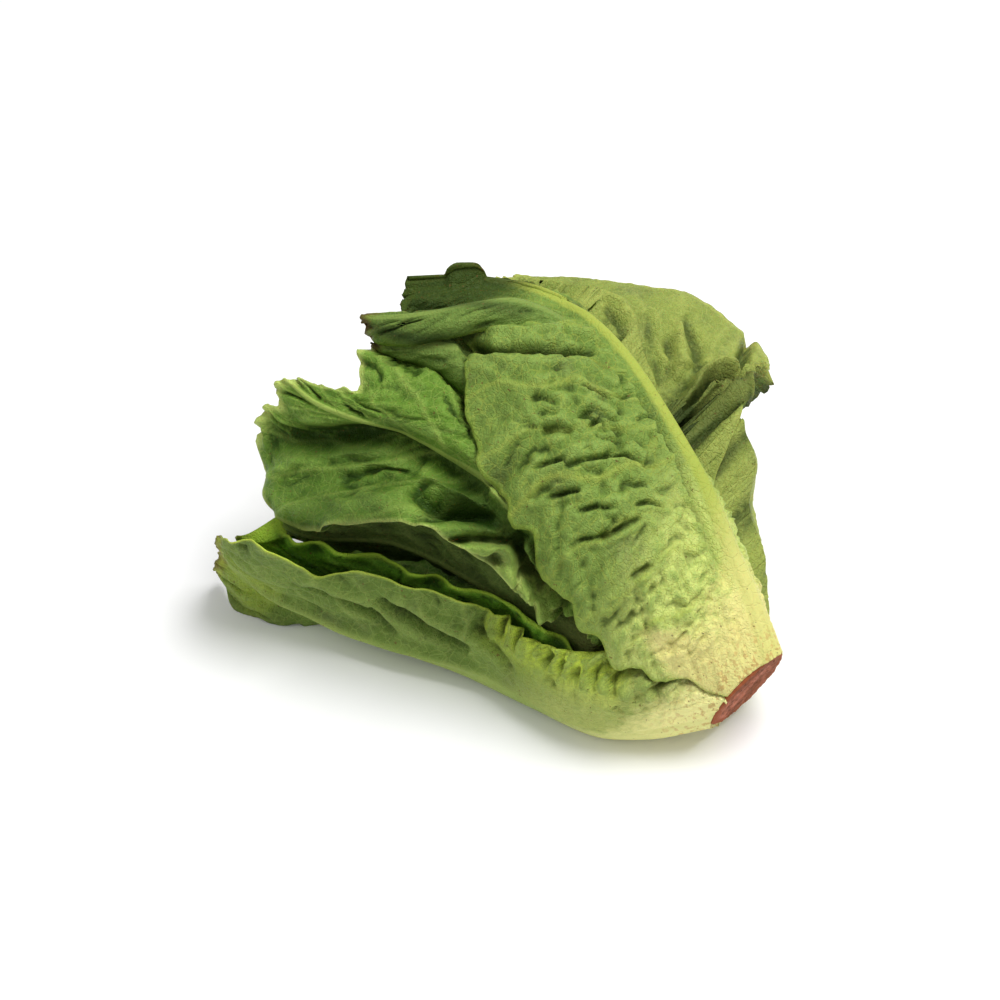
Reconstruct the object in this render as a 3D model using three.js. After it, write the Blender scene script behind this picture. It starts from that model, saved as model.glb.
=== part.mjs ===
// A head of upright lettuce, cut at the stem and lying on its side.
//
// The head grows along its own axis, from the cut stem to the leaf tips. Every leaf is worked out
// round that axis: "along" is the distance from the cut face, "turn" the angle round the axis and
// "out" the distance off it, all in millimetres and degrees. Turn 0 is the upper side, 90 the front
// (-Y) and 180 the side that lies down. The leaves are laid from the outermost to the innermost, and
// each one is pressed under those already laid, over the stem and above the surface, so that no two
// of them share any space. Each leaf is one closed solid, thick at its midrib and thin in its blade.

import * as THREE from "three";

// ---------------------------------------------------------------- driving dimensions

const head = {
  lift: 16.4, // the axis rises this many degrees from the cut stem to the tips
  cutHeight: 27, // centre of the cut face above the surface
  gap: 0.45, // clear space between neighbouring leaves
};

const stem = {
  cutRadius: 20,
  neckRadius: 16.6, // under the outermost leaf bases
  bevel: 0.8,
  collar: 2.6, // length of the bare end that the outermost leaves start from
  length: 88,
  sides: 28,
};

const blade = {
  thickness: 1.3,
  thinnest: 0.8, // where a leaf is squeezed between others
  ribThickness: 3.6, // midrib at the leaf's base
  ribTipShare: 0.45, // what is left of the midrib's thickness at the tip
  rows: 12, // cells along a leaf
  columns: [-1, -0.72, -0.42, -0.12, 0, 0.12, 0.42, 0.72, 1], // right margin, midrib, left margin
};

// The outer leaves, from the outermost in. At each of its stations a leaf states where its midrib
// runs (turn, out) and, for its right and left half, how far round the margin lies (span, degrees)
// and how far off the axis the blade is half way and at the margin. tipDrop is how much of its length
// each margin falls short of the midrib's tip: right, then left.
const outerLeaves = [
  {
    name: "leaf_top",
    along: [3.1, 36, 76, 121, 150, 167, 182, 197, 214],
    turn: [-14, -18, -25, -31, -36, -39, -32, -19, 4],
    out: [22, 41, 57, 65, 66, 62, 58, 54, 46],
    right: {
      span: [60, 33, 24, 18, 16, 15, 16, 16, 14],
      mid: [21.5, 41, 57, 66, 68, 65, 60, 55, 47],
      edge: [21, 39, 53, 63, 67, 67, 62, 55, 47],
    },
    left: {
      span: [68, 89, 82, 77, 70, 59, 41, 27, 10],
      mid: [22, 44, 61, 67, 66, 61, 57, 53, 46],
      edge: [22, 44, 58, 61, 58, 54, 51, 49, 45],
    },
    tipDrop: [0, 0],
  },
  {
    name: "leaf_front",
    along: [3.1, 16, 31, 60, 92, 125, 155, 180, 203],
    turn: [128, 129, 129, 129, 128, 126, 124, 122, 120],
    out: [26, 42, 56, 67, 80, 95, 108, 116, 117],
    right: {
      span: [54, 55, 48, 27, 24, 22, 20, 18, 15],
      mid: [24, 37, 50, 61, 68, 84, 102, 114, 117],
      edge: [22, 28, 38, 50, 55, 73, 96, 111, 115],
    },
    left: {
      span: [44, 40, 36, 34, 30, 22, 9, 7, 9],
      mid: [24, 35, 45, 56, 66, 84, 112, 126, 125],
      edge: [22, 30, 37, 45, 54, 76, 115, 132, 128],
    },
    tipDrop: [0.02, 0],
  },
  {
    name: "leaf_right",
    along: [7, 40, 70, 84, 98, 125, 147, 172, 198],
    turn: [-46, -40, -40, -40, -40, -40, -39, -38, -34],
    out: [19, 37, 49, 54, 58, 60, 59, 55, 48],
    right: {
      span: [38, 18, 16, 22, 31, 34, 32, 26, 16],
      mid: [19, 36, 48, 56, 66, 72, 71, 65, 52],
      edge: [19, 35, 50, 86, 110, 113, 107, 84, 58],
    },
    left: {
      span: [34, 28, 32, 36, 40, 42, 42, 38, 28],
      mid: [19, 36, 48, 53, 56, 58, 57, 53, 46],
      edge: [18, 35, 46, 51, 54, 56, 55, 52, 45],
    },
    tipDrop: [0.04, 0.06],
  },
  {
    name: "leaf_back",
    along: [5, 14, 40, 57, 77, 116, 153, 192],
    turn: [-106, -106, -105, -104, -102, -100, -100, -98],
    out: [20, 27, 46, 57, 68, 74, 74, 62],
    right: {
      span: [40, 42, 48, 48, 48, 45, 40, 28],
      mid: [20, 26, 44, 54, 65, 72, 74, 64],
      edge: [19, 24, 41, 50, 60, 69, 72, 63],
    },
    left: {
      span: [46, 48, 50, 50, 48, 42, 36, 24],
      mid: [20, 28, 48, 60, 76, 78, 73, 60],
      edge: [20, 28, 47, 59, 77, 76, 70, 58],
    },
    tipDrop: [0.14, 0.14],
  },
  {
    name: "leaf_back_low",
    along: [5, 20, 50, 90, 135, 180, 212],
    turn: [-150, -150, -149, -148, -147, -146, -145],
    out: [21, 32, 50, 68, 82, 90, 84],
    right: {
      span: [38, 40, 42, 40, 36, 30, 20],
      mid: [20, 30, 45, 60, 74, 82, 78],
      edge: [19, 28, 40, 53, 66, 76, 74],
    },
    left: {
      span: [36, 38, 42, 42, 38, 32, 20],
      mid: [20, 31, 48, 66, 80, 87, 80],
      edge: [19, 29, 46, 63, 75, 81, 76],
    },
    tipDrop: [0.14, 0.14],
  },
  {
    name: "leaf_under",
    along: [7, 30, 62, 100, 145, 185, 214],
    turn: [178, 178, 176, 174, 172, 172, 172],
    out: [19, 30, 42, 54, 66, 74, 76],
    right: {
      span: [40, 38, 38, 36, 34, 30, 20],
      mid: [19, 32, 46, 60, 74, 82, 82],
      edge: [18, 34, 50, 64, 80, 88, 86],
    },
    left: {
      span: [36, 38, 40, 40, 36, 30, 20],
      mid: [19, 31, 44, 57, 70, 78, 78],
      edge: [18, 30, 44, 58, 72, 80, 80],
    },
    tipDrop: [0.12, 0.12],
  },
  {
    name: "leaf_upper_left",
    along: [12, 60, 110, 150, 172, 181, 190, 205, 213],
    turn: [-50, -44, -40, -34, -18, -5, 10, 26, 33],
    out: [18, 38, 52, 57, 56, 55, 54, 52, 50],
    right: {
      span: [30, 34, 34, 28, 20, 12, 11, 10, 3],
      mid: [18, 37, 52, 57, 56, 55, 54, 52, 50],
      edge: [18, 36, 50, 55, 54, 52, 51, 49, 48],
    },
    left: {
      span: [30, 36, 36, 30, 20, 12, 11, 10, 3],
      mid: [18, 37, 51, 56, 55, 54, 53, 51, 50],
      edge: [18, 36, 49, 53, 52, 51, 50, 49, 48],
    },
    tipDrop: [0, 0],
  },
  {
    name: "leaf_upper_inner",
    along: [14, 60, 110, 150, 170, 182, 194, 204],
    turn: [30, 6, -4, 2, 12, 20, 31, 39],
    out: [18, 37, 50, 54, 52, 51, 50, 49],
    right: {
      span: [30, 34, 34, 26, 13, 9, 6, 2],
      mid: [18, 36, 49, 53, 52, 51, 50, 49],
      edge: [18, 35, 47, 51, 50, 49, 48, 48],
    },
    left: {
      span: [30, 34, 34, 26, 13, 9, 6, 2],
      mid: [18, 36, 49, 53, 52, 51, 50, 49],
      edge: [18, 35, 47, 51, 49, 48, 48, 48],
    },
    tipDrop: [0, 0],
  },
  {
    name: "leaf_left",
    along: [11, 60, 112, 136, 162, 185, 205, 224],
    turn: [70, 52, 45.5, 51, 58, 65, 73, 86],
    out: [19, 40, 57, 58, 62, 65, 66, 68],
    right: {
      span: [38, 42, 41, 43, 44, 43, 38, 38],
      mid: [18.5, 40, 55, 57, 59, 61, 60, 60],
      edge: [18, 39, 50, 50, 48, 47, 50, 54],
    },
    left: {
      span: [30, 28, 24, 21, 33, 38, 30, 12],
      mid: [18.5, 39, 55, 60, 65, 70, 73, 72],
      edge: [18, 38, 66, 80, 89, 91, 88, 77],
    },
    tipDrop: [0.1, 0.03],
    bite: { at: -0.68, width: 0.22, depth: 24 },
  },
  {
    name: "leaf_front_inner",
    along: [10, 24, 50, 90, 140, 182, 206],
    turn: [120, 119, 118, 118, 118, 117, 115],
    out: [20, 40, 54, 64, 84, 103, 115],
    right: {
      span: [34, 32, 26, 18, 12, 8, 3],
      mid: [19, 35, 48, 58, 78, 102, 115],
      edge: [18, 30, 42, 50, 70, 101, 115],
    },
    left: {
      span: [32, 34, 34, 30, 26, 18, 5],
      mid: [19, 35, 48, 60, 80, 100, 113],
      edge: [18, 30, 42, 54, 74, 96, 111],
    },
    tipDrop: [0, 0.04],
  },
  {
    name: "leaf_front_mid",
    along: [13, 45, 95, 145, 172, 190],
    turn: [96, 102, 106, 108, 110, 110],
    out: [19, 41, 54, 68, 86, 93],
    right: {
      span: [32, 32, 28, 22, 12, 5],
      mid: [19, 40, 51, 64, 84, 92],
      edge: [18, 38, 47, 60, 81, 90],
    },
    left: {
      span: [36, 38, 36, 32, 24, 8],
      mid: [19, 40, 51, 66, 85, 93],
      edge: [18, 38, 47, 62, 82, 92],
    },
    tipDrop: [0.05, 0.05],
  },
];

// The leaves inside them, which follow one another round the head by the growth angle and get
// smaller and shorter towards the heart. "share" is how full a leaf stands, as a share of the
// space inside the outer leaves.
const space = { along: [4, 20, 50, 95, 140, 185, 225], out: [17, 24, 34, 48, 55, 54, 46] };
const growthAngle = 137.5;
const foldedWidths = [0.9, 0.95, 1, 0.92, 0.72, 0.42]; // parts of the span, from base to tip
const folded = [
  { name: "leaf_mid_1", start: 17, tip: 205, turn: -128, twist: 4, span: 70, share: 0.94 },
  { name: "leaf_mid_2", start: 20, tip: 200, turn: 132, twist: 6, span: 66, share: 0.88 },
  { name: "leaf_mid_3", start: 24, tip: 198, turn: -64, twist: 8, span: 62, share: 0.8 },
  { name: "leaf_mid_4", start: 28, tip: 194, turn: 40, twist: 6, span: 68, share: 0.8 },
];
const heart = {
  count: 4,
  widths: [0.4, 0.7, 1, 0.95, 0.75, 0.45], // their bases are narrow ribs
  firstTurn: 60,
  start: [40, 74], // along the axis: first heart leaf, last one
  tip: [190, 142],
  share: [0.62, 0.26],
  span: [56, 66],
};

// ---------------------------------------------------------------- curves and places

const radians = Math.PI / 180;
const mix = (a, b, t) => a + (b - a) * t;
const clamp = (x, low, high) => Math.min(high, Math.max(low, x));

// A smooth curve through values given at stations: cubic Hermite, its slopes from the neighbours.
function curveThrough(stations, values, at) {
  const last = stations.length - 1;
  let i = 0;
  while (i < last - 1 && at > stations[i + 1]) i++;
  const slope = (k) => {
    const before = Math.max(0, k - 1);
    const after = Math.min(last, k + 1);
    return (values[after] - values[before]) / (stations[after] - stations[before]);
  };
  const width = stations[i + 1] - stations[i];
  const t = clamp((at - stations[i]) / width, 0, 1);
  const h = t * t * (3 - 2 * t);
  const bend = width * t * (1 - t) * (slope(i) * (1 - t) - slope(i + 1) * t);
  return mix(values[i], values[i + 1], h) + bend;
}

// The same through five values across a leaf: right margin, half way, midrib, half way, left margin.
const across = [-1, -0.5, 0, 0.5, 1];

// A point given round the axis, in the part's frame.
const sinLift = Math.sin(head.lift * radians);
const cosLift = Math.cos(head.lift * radians);
function place(along, turn, out) {
  const up = out * Math.cos(turn * radians);
  const front = out * Math.sin(turn * radians);
  return new THREE.Vector3(
    -along * cosLift + up * sinLift,
    -front,
    head.cutHeight + along * sinLift + up * cosLift,
  );
}

// The way back: along, turn and out of a point in the part's frame.
function unplace(p) {
  const z = p.z - head.cutHeight;
  const along = z * sinLift - p.x * cosLift;
  const up = z * cosLift + p.x * sinLift;
  return { along, turn: Math.atan2(-p.y, up) / radians, out: Math.hypot(up, p.y) };
}

// How far off the axis the surface that the head lies on is, looking from the axis that way.
function outToFloor(along, turn) {
  const down = -Math.cos(turn * radians) * cosLift;
  return down > 0.05 ? (head.cutHeight + along * sinLift) / down : Infinity;
}

// The stem's radius inside the head, where the leaves are attached.
function stemRadius(along) {
  const t = clamp((along - stem.collar) / (stem.length - stem.collar), 0, 1);
  return stem.neckRadius * Math.pow(1 - t, 1.25);
}

// ---------------------------------------------------------------- room that is already taken

// The nearest surface to the axis of the leaves laid so far, in bins along and round the axis.
const bin = { along: 2, turn: 3 };
const binsAlong = 130;
const binsRound = 360 / bin.turn;
const taken = new Float64Array(binsAlong * binsRound).fill(Infinity);
let ceiling = taken.slice(); // the same, each bin with the lowest of its neighbours

function binOf(along, turn) {
  const i = clamp(Math.floor(along / bin.along), 0, binsAlong - 1);
  const j = Math.floor((((turn % 360) + 360) % 360) / bin.turn) % binsRound;
  return i * binsRound + j;
}

// How far out the next leaf may stand there: under the leaves laid so far, and above the surface.
function roomAt(along, turn) {
  return Math.min(ceiling[binOf(along, turn)] - head.gap, outToFloor(along, turn));
}

// Calls visit with points spread evenly over a triangle, and each corner's weight in the point.
function overTriangle([a, b, c], visit) {
  const steps = Math.ceil(Math.max(a.distanceTo(b), b.distanceTo(c), c.distanceTo(a)) / 1.4);
  const p = new THREE.Vector3();
  for (let m = 0; m <= steps; m++)
    for (let n = 0; n <= steps - m; n++) {
      const weights = [1 - (m + n) / steps, m / steps, n / steps];
      p.copy(a).multiplyScalar(weights[0]).addScaledVector(b, weights[1]).addScaledVector(c, weights[2]);
      visit(p, weights);
    }
}

function takeRoom(triangles) {
  for (const triangle of triangles)
    overTriangle(triangle, (p) => {
      const q = unplace(p);
      const k = binOf(q.along, q.turn);
      taken[k] = Math.min(taken[k], q.out);
    });
  ceiling = taken.map((_, k) => {
    const [i, j] = [Math.floor(k / binsRound), k % binsRound];
    let lowest = Infinity;
    for (const row of [Math.max(i - 1, 0), i, Math.min(i + 1, binsAlong - 1)])
      for (const step of [-1, 0, 1])
        lowest = Math.min(lowest, taken[row * binsRound + ((j + step + binsRound) % binsRound)]);
    return lowest;
  });
}

// ---------------------------------------------------------------- leaves

// What a leaf's stations say at a distance along the axis, for v from -1 (right margin) over 0
// (midrib) to 1 (left margin).
function outerSide(leaf, at, v) {
  const read = (values) => curveThrough(leaf.along, values, at);
  const half = v < 0 ? leaf.right : leaf.left;
  const radii = [leaf.right.edge, leaf.right.mid, leaf.out, leaf.left.mid, leaf.left.edge].map(read);
  return { turn: read(leaf.turn) + read(half.span) * v, out: curveThrough(across, radii, v) };
}

// How thick a leaf is there: the midrib is a ridge that thins out towards the tip and the blade.
function thicknessAt(leaf, u, v) {
  const rib = leaf.ribThickness ?? blade.ribThickness;
  const ridge = Math.max(0, mix(rib, rib * blade.ribTipShare, u) - blade.thickness);
  const flesh = mix(0.45, 0, clamp(u * 6, 0, 1)); // a leaf's base is fleshy right across
  return blade.thickness + ridge * Math.max(Math.exp(-((v / 0.2) ** 2)), flesh);
}

// Where a leaf leaves the stem: the first place from its first station on at which it fits between
// the stem and the leaves laid already, for the next few millimetres too.
function startOf(leaf, v) {
  const thick = thicknessAt(leaf, 0, v);
  const fits = (at) => {
    const room = roomAt(at, outerSide(leaf, at, v).turn);
    return room - stemRadius(at) - head.gap > thick;
  };
  let at = leaf.along[0];
  while (at < leaf.along.at(-1) / 2 && ![0, 2, 4, 6, 8].every((step) => fits(at + step))) at += 0.5;
  return at;
}

// Lays a leaf: works out its outer side on a grid of rows and columns, lowers it until it clears the
// leaves laid already and the surface, and gives it its thickness. Where that leaves it too thin, its
// base moves up the stem. Returns the closed solid.
function layLeaf(leaf) {
  const rows = leaf.rows ?? blade.rows;
  const columns = blade.columns;
  const triangles = cornersOf(rows, columns.length - 1);
  const starts = columns.map((v) => startOf(leaf, v));
  let grid = [];
  for (let attempt = 0; attempt < 20; attempt++) {
    grid = loweredGrid(leaf, rows, columns, starts, triangles);
    const thin = grid.filter((g) => g.out - g.within < Math.min(g.thick, blade.thinnest));
    if (thin.length === 0) break;
    for (const g of thin) starts[g.column] += 1.5;
    evenOut(starts);
  }
  const outer = grid.map((g) => place(g.along, g.turn, g.out));
  const inner = grid.map((g) => place(g.along, g.turn, g.within));
  takeRoom(triangles.map((corners) => corners.map((k) => inner[k])));
  return closedSheet(outer, inner, rows, columns.length - 1);
}

// Raises the starts beside a higher one, so that a leaf's base has no step in it.
function evenOut(starts) {
  const step = 9;
  for (let c = 1; c < starts.length; c++) starts[c] = Math.max(starts[c], starts[c - 1] - step);
  for (let c = starts.length - 1; c > 0; c--) starts[c - 1] = Math.max(starts[c - 1], starts[c] - step);
}

// How much of its tip a leaf has lost at v, where a bite is missing from it.
function bitten({ bite }, v) {
  return bite ? bite.depth * Math.exp(-(((v - bite.at) / bite.width) ** 2)) : 0;
}

function loweredGrid(leaf, rows, columns, starts, triangles) {
  const grid = [];
  for (let i = 0; i <= rows; i++)
    columns.forEach((v, column) => {
      const u = i / rows;
      const drop = leaf.tipDrop[v < 0 ? 0 : 1] * v ** 2 * u ** 4;
      const along = mix(starts[column], leaf.along.at(-1), u - drop) - bitten(leaf, v) * u ** 4;
      const { turn, out } = outerSide(leaf, along, v);
      const thick = thicknessAt(leaf, u, v);
      grid.push({ column, along, turn, out: Math.min(out, outToFloor(along, turn)), thick });
    });
  for (let pass = 0; pass < 12; pass++) {
    const lower = grid.map(() => 0);
    for (const corners of triangles)
      overTriangle(corners.map((k) => place(grid[k].along, grid[k].turn, grid[k].out)), (p, weights) => {
        const q = unplace(p);
        const over = q.out - roomAt(q.along, q.turn);
        if (over <= 0) return;
        const sum = weights.reduce((total, w) => total + w * w, 0);
        corners.forEach((k, n) => (lower[k] = Math.max(lower[k], (over * weights[n]) / sum)));
      });
    if (Math.max(...lower) < 0.02) break;
    grid.forEach((g, k) => (g.out = Math.max(g.out - lower[k], stemRadius(g.along) + 1)));
  }
  for (const g of grid) g.within = Math.max(g.out - g.thick, stemRadius(g.along) + head.gap);
  return grid;
}

// The corners of the triangles of a grid, seen from outside.
function cornersOf(rows, cells) {
  const wide = cells + 1;
  const corners = [];
  for (let i = 0; i < rows; i++)
    for (let j = 0; j < cells; j++) {
      const a = i * wide + j;
      corners.push([a, a + wide + 1, a + 1], [a, a + wide, a + wide + 1]);
    }
  return corners;
}

// One closed solid from two matching grids of points, joined all round their rims.
function closedSheet(outer, inner, rows, cells) {
  const wide = cells + 1;
  const shift = outer.length;
  const sides = cornersOf(rows, cells);
  const faces = [...sides, ...sides.map(([a, b, c]) => [shift + a, shift + c, shift + b])];
  const rim = (a, b) => faces.push([a, b, shift + b], [a, shift + b, shift + a]);
  for (let j = 0; j < cells; j++) {
    rim(j, j + 1);
    rim(rows * wide + j + 1, rows * wide + j);
  }
  for (let i = 0; i < rows; i++) {
    rim((i + 1) * wide, i * wide);
    rim(i * wide + cells, (i + 1) * wide + cells);
  }
  const points = [...outer, ...inner].flatMap((p) => [p.x, p.y, p.z]);
  const geometry = new THREE.BufferGeometry();
  geometry.setAttribute("position", new THREE.Float32BufferAttribute(points, 3));
  geometry.setIndex(faces.flat());
  geometry.computeVertexNormals();
  return geometry;
}

// The stations of a leaf that follows the space inside the outer ones.
function nestedLeaf({ name, start, tip, turn, twist, span, share, widths }) {
  const stations = [0, 0.18, 0.4, 0.62, 0.82, 1].map((t) => mix(start, tip, t));
  const spans = widths.map((w) => w * span);
  const radii = stations.map((s) => {
    const room = curveThrough(space.along, space.out, s);
    return Math.max(share * room, stemRadius(s) + 3);
  });
  const half = { span: spans, mid: radii, edge: radii };
  return {
    name,
    along: stations,
    turn: stations.map((s) => turn + twist * ((s - start) / (tip - start)) ** 2),
    out: radii,
    right: half,
    left: half,
    tipDrop: [0.16, 0.16],
    ribThickness: 2.2,
    rows: 9,
  };
}

function heartLeaf(k) {
  const t = k / (heart.count - 1);
  return nestedLeaf({
    name: `leaf_heart_${k + 1}`,
    start: mix(...heart.start, t),
    tip: mix(...heart.tip, t),
    turn: heart.firstTurn + growthAngle * k,
    twist: 0,
    span: mix(...heart.span, t),
    share: mix(...heart.share, t),
    widths: heart.widths,
  });
}

// ---------------------------------------------------------------- materials

const leafMaterial = (name, color) =>
  new THREE.MeshStandardMaterial({ name, color, roughness: 0.45, metalness: 0, side: THREE.DoubleSide });
const materials = {
  outer: leafMaterial("outer_leaf", 0x7c9a48),
  mid: leafMaterial("mid_leaf", 0x8fae55),
  heart: leafMaterial("heart_leaf", 0xc9cf86),
  stem: new THREE.MeshStandardMaterial({ name: "stem", color: 0xa5785a, roughness: 0.8, metalness: 0 }),
};

// ---------------------------------------------------------------- the head

// The stem: a flat cut end, a short collar and a core that tapers to a point inside the heart.
function makeStem() {
  const profile = [
    [0, 0],
    [stem.cutRadius - stem.bevel, 0],
    [stem.cutRadius, stem.bevel],
    [stem.cutRadius - 0.4, stem.collar - stem.bevel],
    [stem.neckRadius, stem.collar],
  ];
  const steps = 8;
  for (let i = 1; i < steps; i++) {
    const along = mix(stem.collar, stem.length, i / steps);
    profile.push([stemRadius(along), along]);
  }
  profile.push([0, stem.length]);
  const lathe = new THREE.LatheGeometry(profile.map(([r, y]) => new THREE.Vector2(r, y)), stem.sides);
  const mesh = new THREE.Mesh(lathe, materials.stem);
  mesh.name = "stem_core";
  mesh.position.set(0, 0, head.cutHeight);
  mesh.quaternion.setFromUnitVectors(new THREE.Vector3(0, 1, 0), new THREE.Vector3(-cosLift, 0, sinLift));
  return mesh;
}

const part = new THREE.Group();
part.name = "lettuce_head";
part.add(makeStem());

const nested = folded.map((leaf) => nestedLeaf({ ...leaf, widths: foldedWidths }));
const hearts = Array.from({ length: heart.count }, (_, k) => heartLeaf(k));
const laid = [
  ...outerLeaves.map((leaf) => [leaf, materials.outer]),
  ...nested.map((leaf) => [leaf, materials.mid]),
  ...hearts.map((leaf) => [leaf, materials.heart]),
];
for (const [leaf, material] of laid) {
  const mesh = new THREE.Mesh(layLeaf(leaf), material);
  mesh.name = leaf.name;
  part.add(mesh);
}

// The origin: the middle of the head's footprint, on the surface that it lies on.
const box = new THREE.Box3().setFromObject(part, true);
const middle = box.getCenter(new THREE.Vector3());
part.position.set(-middle.x, -middle.y, -box.min.z);

export default part;
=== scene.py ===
import math

import bpy
import numpy as np
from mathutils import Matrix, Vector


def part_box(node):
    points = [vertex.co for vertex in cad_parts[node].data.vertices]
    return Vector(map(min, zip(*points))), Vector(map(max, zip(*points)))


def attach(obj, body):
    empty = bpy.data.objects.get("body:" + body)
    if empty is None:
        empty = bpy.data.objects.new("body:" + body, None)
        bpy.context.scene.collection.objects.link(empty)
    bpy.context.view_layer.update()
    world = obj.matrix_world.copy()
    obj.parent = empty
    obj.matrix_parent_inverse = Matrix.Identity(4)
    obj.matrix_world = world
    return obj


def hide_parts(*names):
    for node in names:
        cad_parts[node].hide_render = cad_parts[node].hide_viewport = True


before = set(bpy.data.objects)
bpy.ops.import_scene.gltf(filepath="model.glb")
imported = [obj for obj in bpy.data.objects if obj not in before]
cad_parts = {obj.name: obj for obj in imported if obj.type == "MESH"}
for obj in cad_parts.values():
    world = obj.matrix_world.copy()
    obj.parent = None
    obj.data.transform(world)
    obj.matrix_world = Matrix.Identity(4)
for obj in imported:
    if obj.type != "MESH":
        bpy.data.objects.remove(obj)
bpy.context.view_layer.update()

# A head of upright lettuce lying on its side. Leaves are worked out round the head's axis, as in the
# solids: along is the distance from the cut face, turn the angle round the axis (0 up, 90 front) and
# out the distance off it, in millimetres and degrees. They are laid from the outermost in, and each
# one is pressed under those laid before it.

mm = 0.001
head = dict(
    lift=16.4,  # the axis rises this many degrees towards the tips
    cutRadius=19.2,  # of the flat of the cut end in the solids, inside its bevel
    cutHeight=27.0,  # of the middle of the cut end
    gap=0.35,  # clear space between leaves that press on each other
    soft=0.9,  # how gently a leaf flattens against the one above it
    least=1.5,  # no leaf comes nearer to the axis
)
sinLift = math.sin(math.radians(head["lift"]))
cosLift = math.cos(math.radians(head["lift"]))
stemLow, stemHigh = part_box("stem_core")
cutCentre = np.array([  # the top of the rim is the stem's most forward point
    stemHigh.x / mm - head["cutRadius"] * sinLift,
    (stemLow.y + stemHigh.y) / 2 / mm,
    head["cutHeight"],
])
far = 1000.0  # further off the axis than anything


# Stretches t from low to high onto 0 to 1, flat at both ends.
def smoothStep(low, high, t):
    t = np.clip((t - low) / (high - low), 0, 1)
    return t * t * (3 - 2 * t)


# A smooth curve through values at stations: cubic pieces whose slopes come from their neighbours.
# values may hold one column for each place across.
def curveThrough(stations, values, at):
    stations = np.asarray(stations, float)
    values = np.asarray(values, float)
    last = len(stations) - 1
    slopes = np.array([
        (values[min(last, k + 1)] - values[max(0, k - 1)])
        / (stations[min(last, k + 1)] - stations[max(0, k - 1)])
        for k in range(last + 1)
    ])
    i = np.clip(np.searchsorted(stations, at) - 1, 0, last - 1)
    columns = (-1,) + (1,) * (values.ndim - 1)
    width = (stations[i + 1] - stations[i]).reshape(columns)
    t = np.clip((at - stations[i]).reshape(columns) / width, 0, 1)
    return (
        values[i] + (values[i + 1] - values[i]) * t * t * (3 - 2 * t)
        + width * t * (1 - t) * (slopes[i] * (1 - t) - slopes[i + 1] * t)
    )


# Smooth noise from -1 to 1: every lattice point has a slope of its own, and a place blends the
# slopes of the four points round it.
def gradientNoise(x, y, seed):
    angles = np.random.default_rng(seed).random((128, 128)) * 2 * np.pi
    i, j = np.floor(x).astype(int), np.floor(y).astype(int)
    fx, fy = x - i, y - j

    def corner(a, b):
        angle = angles[(i + a) % 128, (j + b) % 128]
        return np.cos(angle) * (fx - a) + np.sin(angle) * (fy - b)

    sx = fx ** 3 * (fx * (6 * fx - 15) + 10)
    sy = fy ** 3 * (fy * (6 * fy - 15) + 10)
    low = corner(0, 0) * (1 - sx) + corner(1, 0) * sx
    high = corner(0, 1) * (1 - sx) + corner(1, 1) * sx
    return 1.5 * (low * (1 - sy) + high * sy)


# From along, turn and out to the part's frame, in millimetres.
def place(along, turn, out):
    turn = np.radians(turn)
    up = out * np.cos(turn)
    return np.stack([
        cutCentre[0] - along * cosLift + up * sinLift,
        cutCentre[1] - out * np.sin(turn),
        cutCentre[2] + along * sinLift + up * cosLift,
    ], -1)


# And back.
def unplace(points):
    x, y, z = np.moveaxis(points - cutCentre, -1, 0)
    along = z * sinLift - x * cosLift
    up = z * cosLift + x * sinLift
    return along, np.degrees(np.arctan2(-y, up)), np.hypot(up, y)


# How far off the axis the surface under the head is, in that direction: the axis's height there over
# how steeply the direction goes down.
def outToFloor(along, turn):
    down = -np.cos(np.radians(turn)) * cosLift
    steep = 0.05  # less steep than this the way down is not met
    return np.where(down > steep, (cutCentre[2] + along * sinLift) / np.maximum(down, steep), far)


# The room that the leaves take: the least distance off the axis laid so far, in bins along the axis
# (millimetres) and round it (degrees).
binAlong, binTurn = 1.5, 1.5
binsAlong = 180
taken = np.full((binsAlong, int(360 / binTurn)), far)


# The room left now: each bin takes the least of those near it, and then the mean of those beside it.
def smoothedRoom():
    room = taken
    for axis in (0, 1):
        for _ in range(2):
            room = np.minimum(room, np.minimum(np.roll(room, 1, axis), np.roll(room, -1, axis)))
    for axis in (0, 1):
        room = (np.roll(room, 1, axis) + room + np.roll(room, -1, axis)) / 3
    return room


# Lowers the bins that points fall into to the least distance off the axis among them.
def noteRoom(points):
    along, turn, out = unplace(points)
    i = np.clip((along / binAlong).astype(int), 0, binsAlong - 1)
    j = (np.mod(turn, 360) / binTurn).astype(int) % taken.shape[1]
    np.minimum.at(taken, (i, j), out)


# Presses points under what is laid already and above the surface. Far below the limit a point stays
# where it is, far above it lands on it, and between the two it bends over smoothly.
def press(points, room):
    along, turn, out = unplace(points)
    x = np.clip(along / binAlong - 0.5, 0, binsAlong - 1.001)
    y = np.mod(turn, 360) / binTurn - 0.5
    i, j = np.floor(x).astype(int), np.floor(y).astype(int)
    fx, fy = x - i, y - j

    def at(a, b):
        return room[np.minimum(i + a, binsAlong - 1), (j + b) % taken.shape[1]]

    limit = (at(0, 0) * (1 - fy) + at(0, 1) * fy) * (1 - fx) + (at(1, 0) * (1 - fy) + at(1, 1) * fy) * fx
    over = (out - limit + head["gap"]) / head["soft"]
    out = out - head["soft"] * np.logaddexp(0, over)
    out = np.minimum(np.maximum(out, head["least"]), outToFloor(along, turn))
    return place(along, turn, out)


# A new object in the scene.
def added(name, data):
    thing = bpy.data.objects.new(name, data)
    bpy.context.scene.collection.objects.link(thing)
    return thing


# A number at every point of a mesh for each mark, for the finish to read.
def setMarks(mesh, marks):
    for mark, values in marks.items():
        attribute = mesh.attributes.new(mark, "FLOAT", "POINT")
        attribute.data.foreach_set("value", values.astype(np.float32).ravel())


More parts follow.
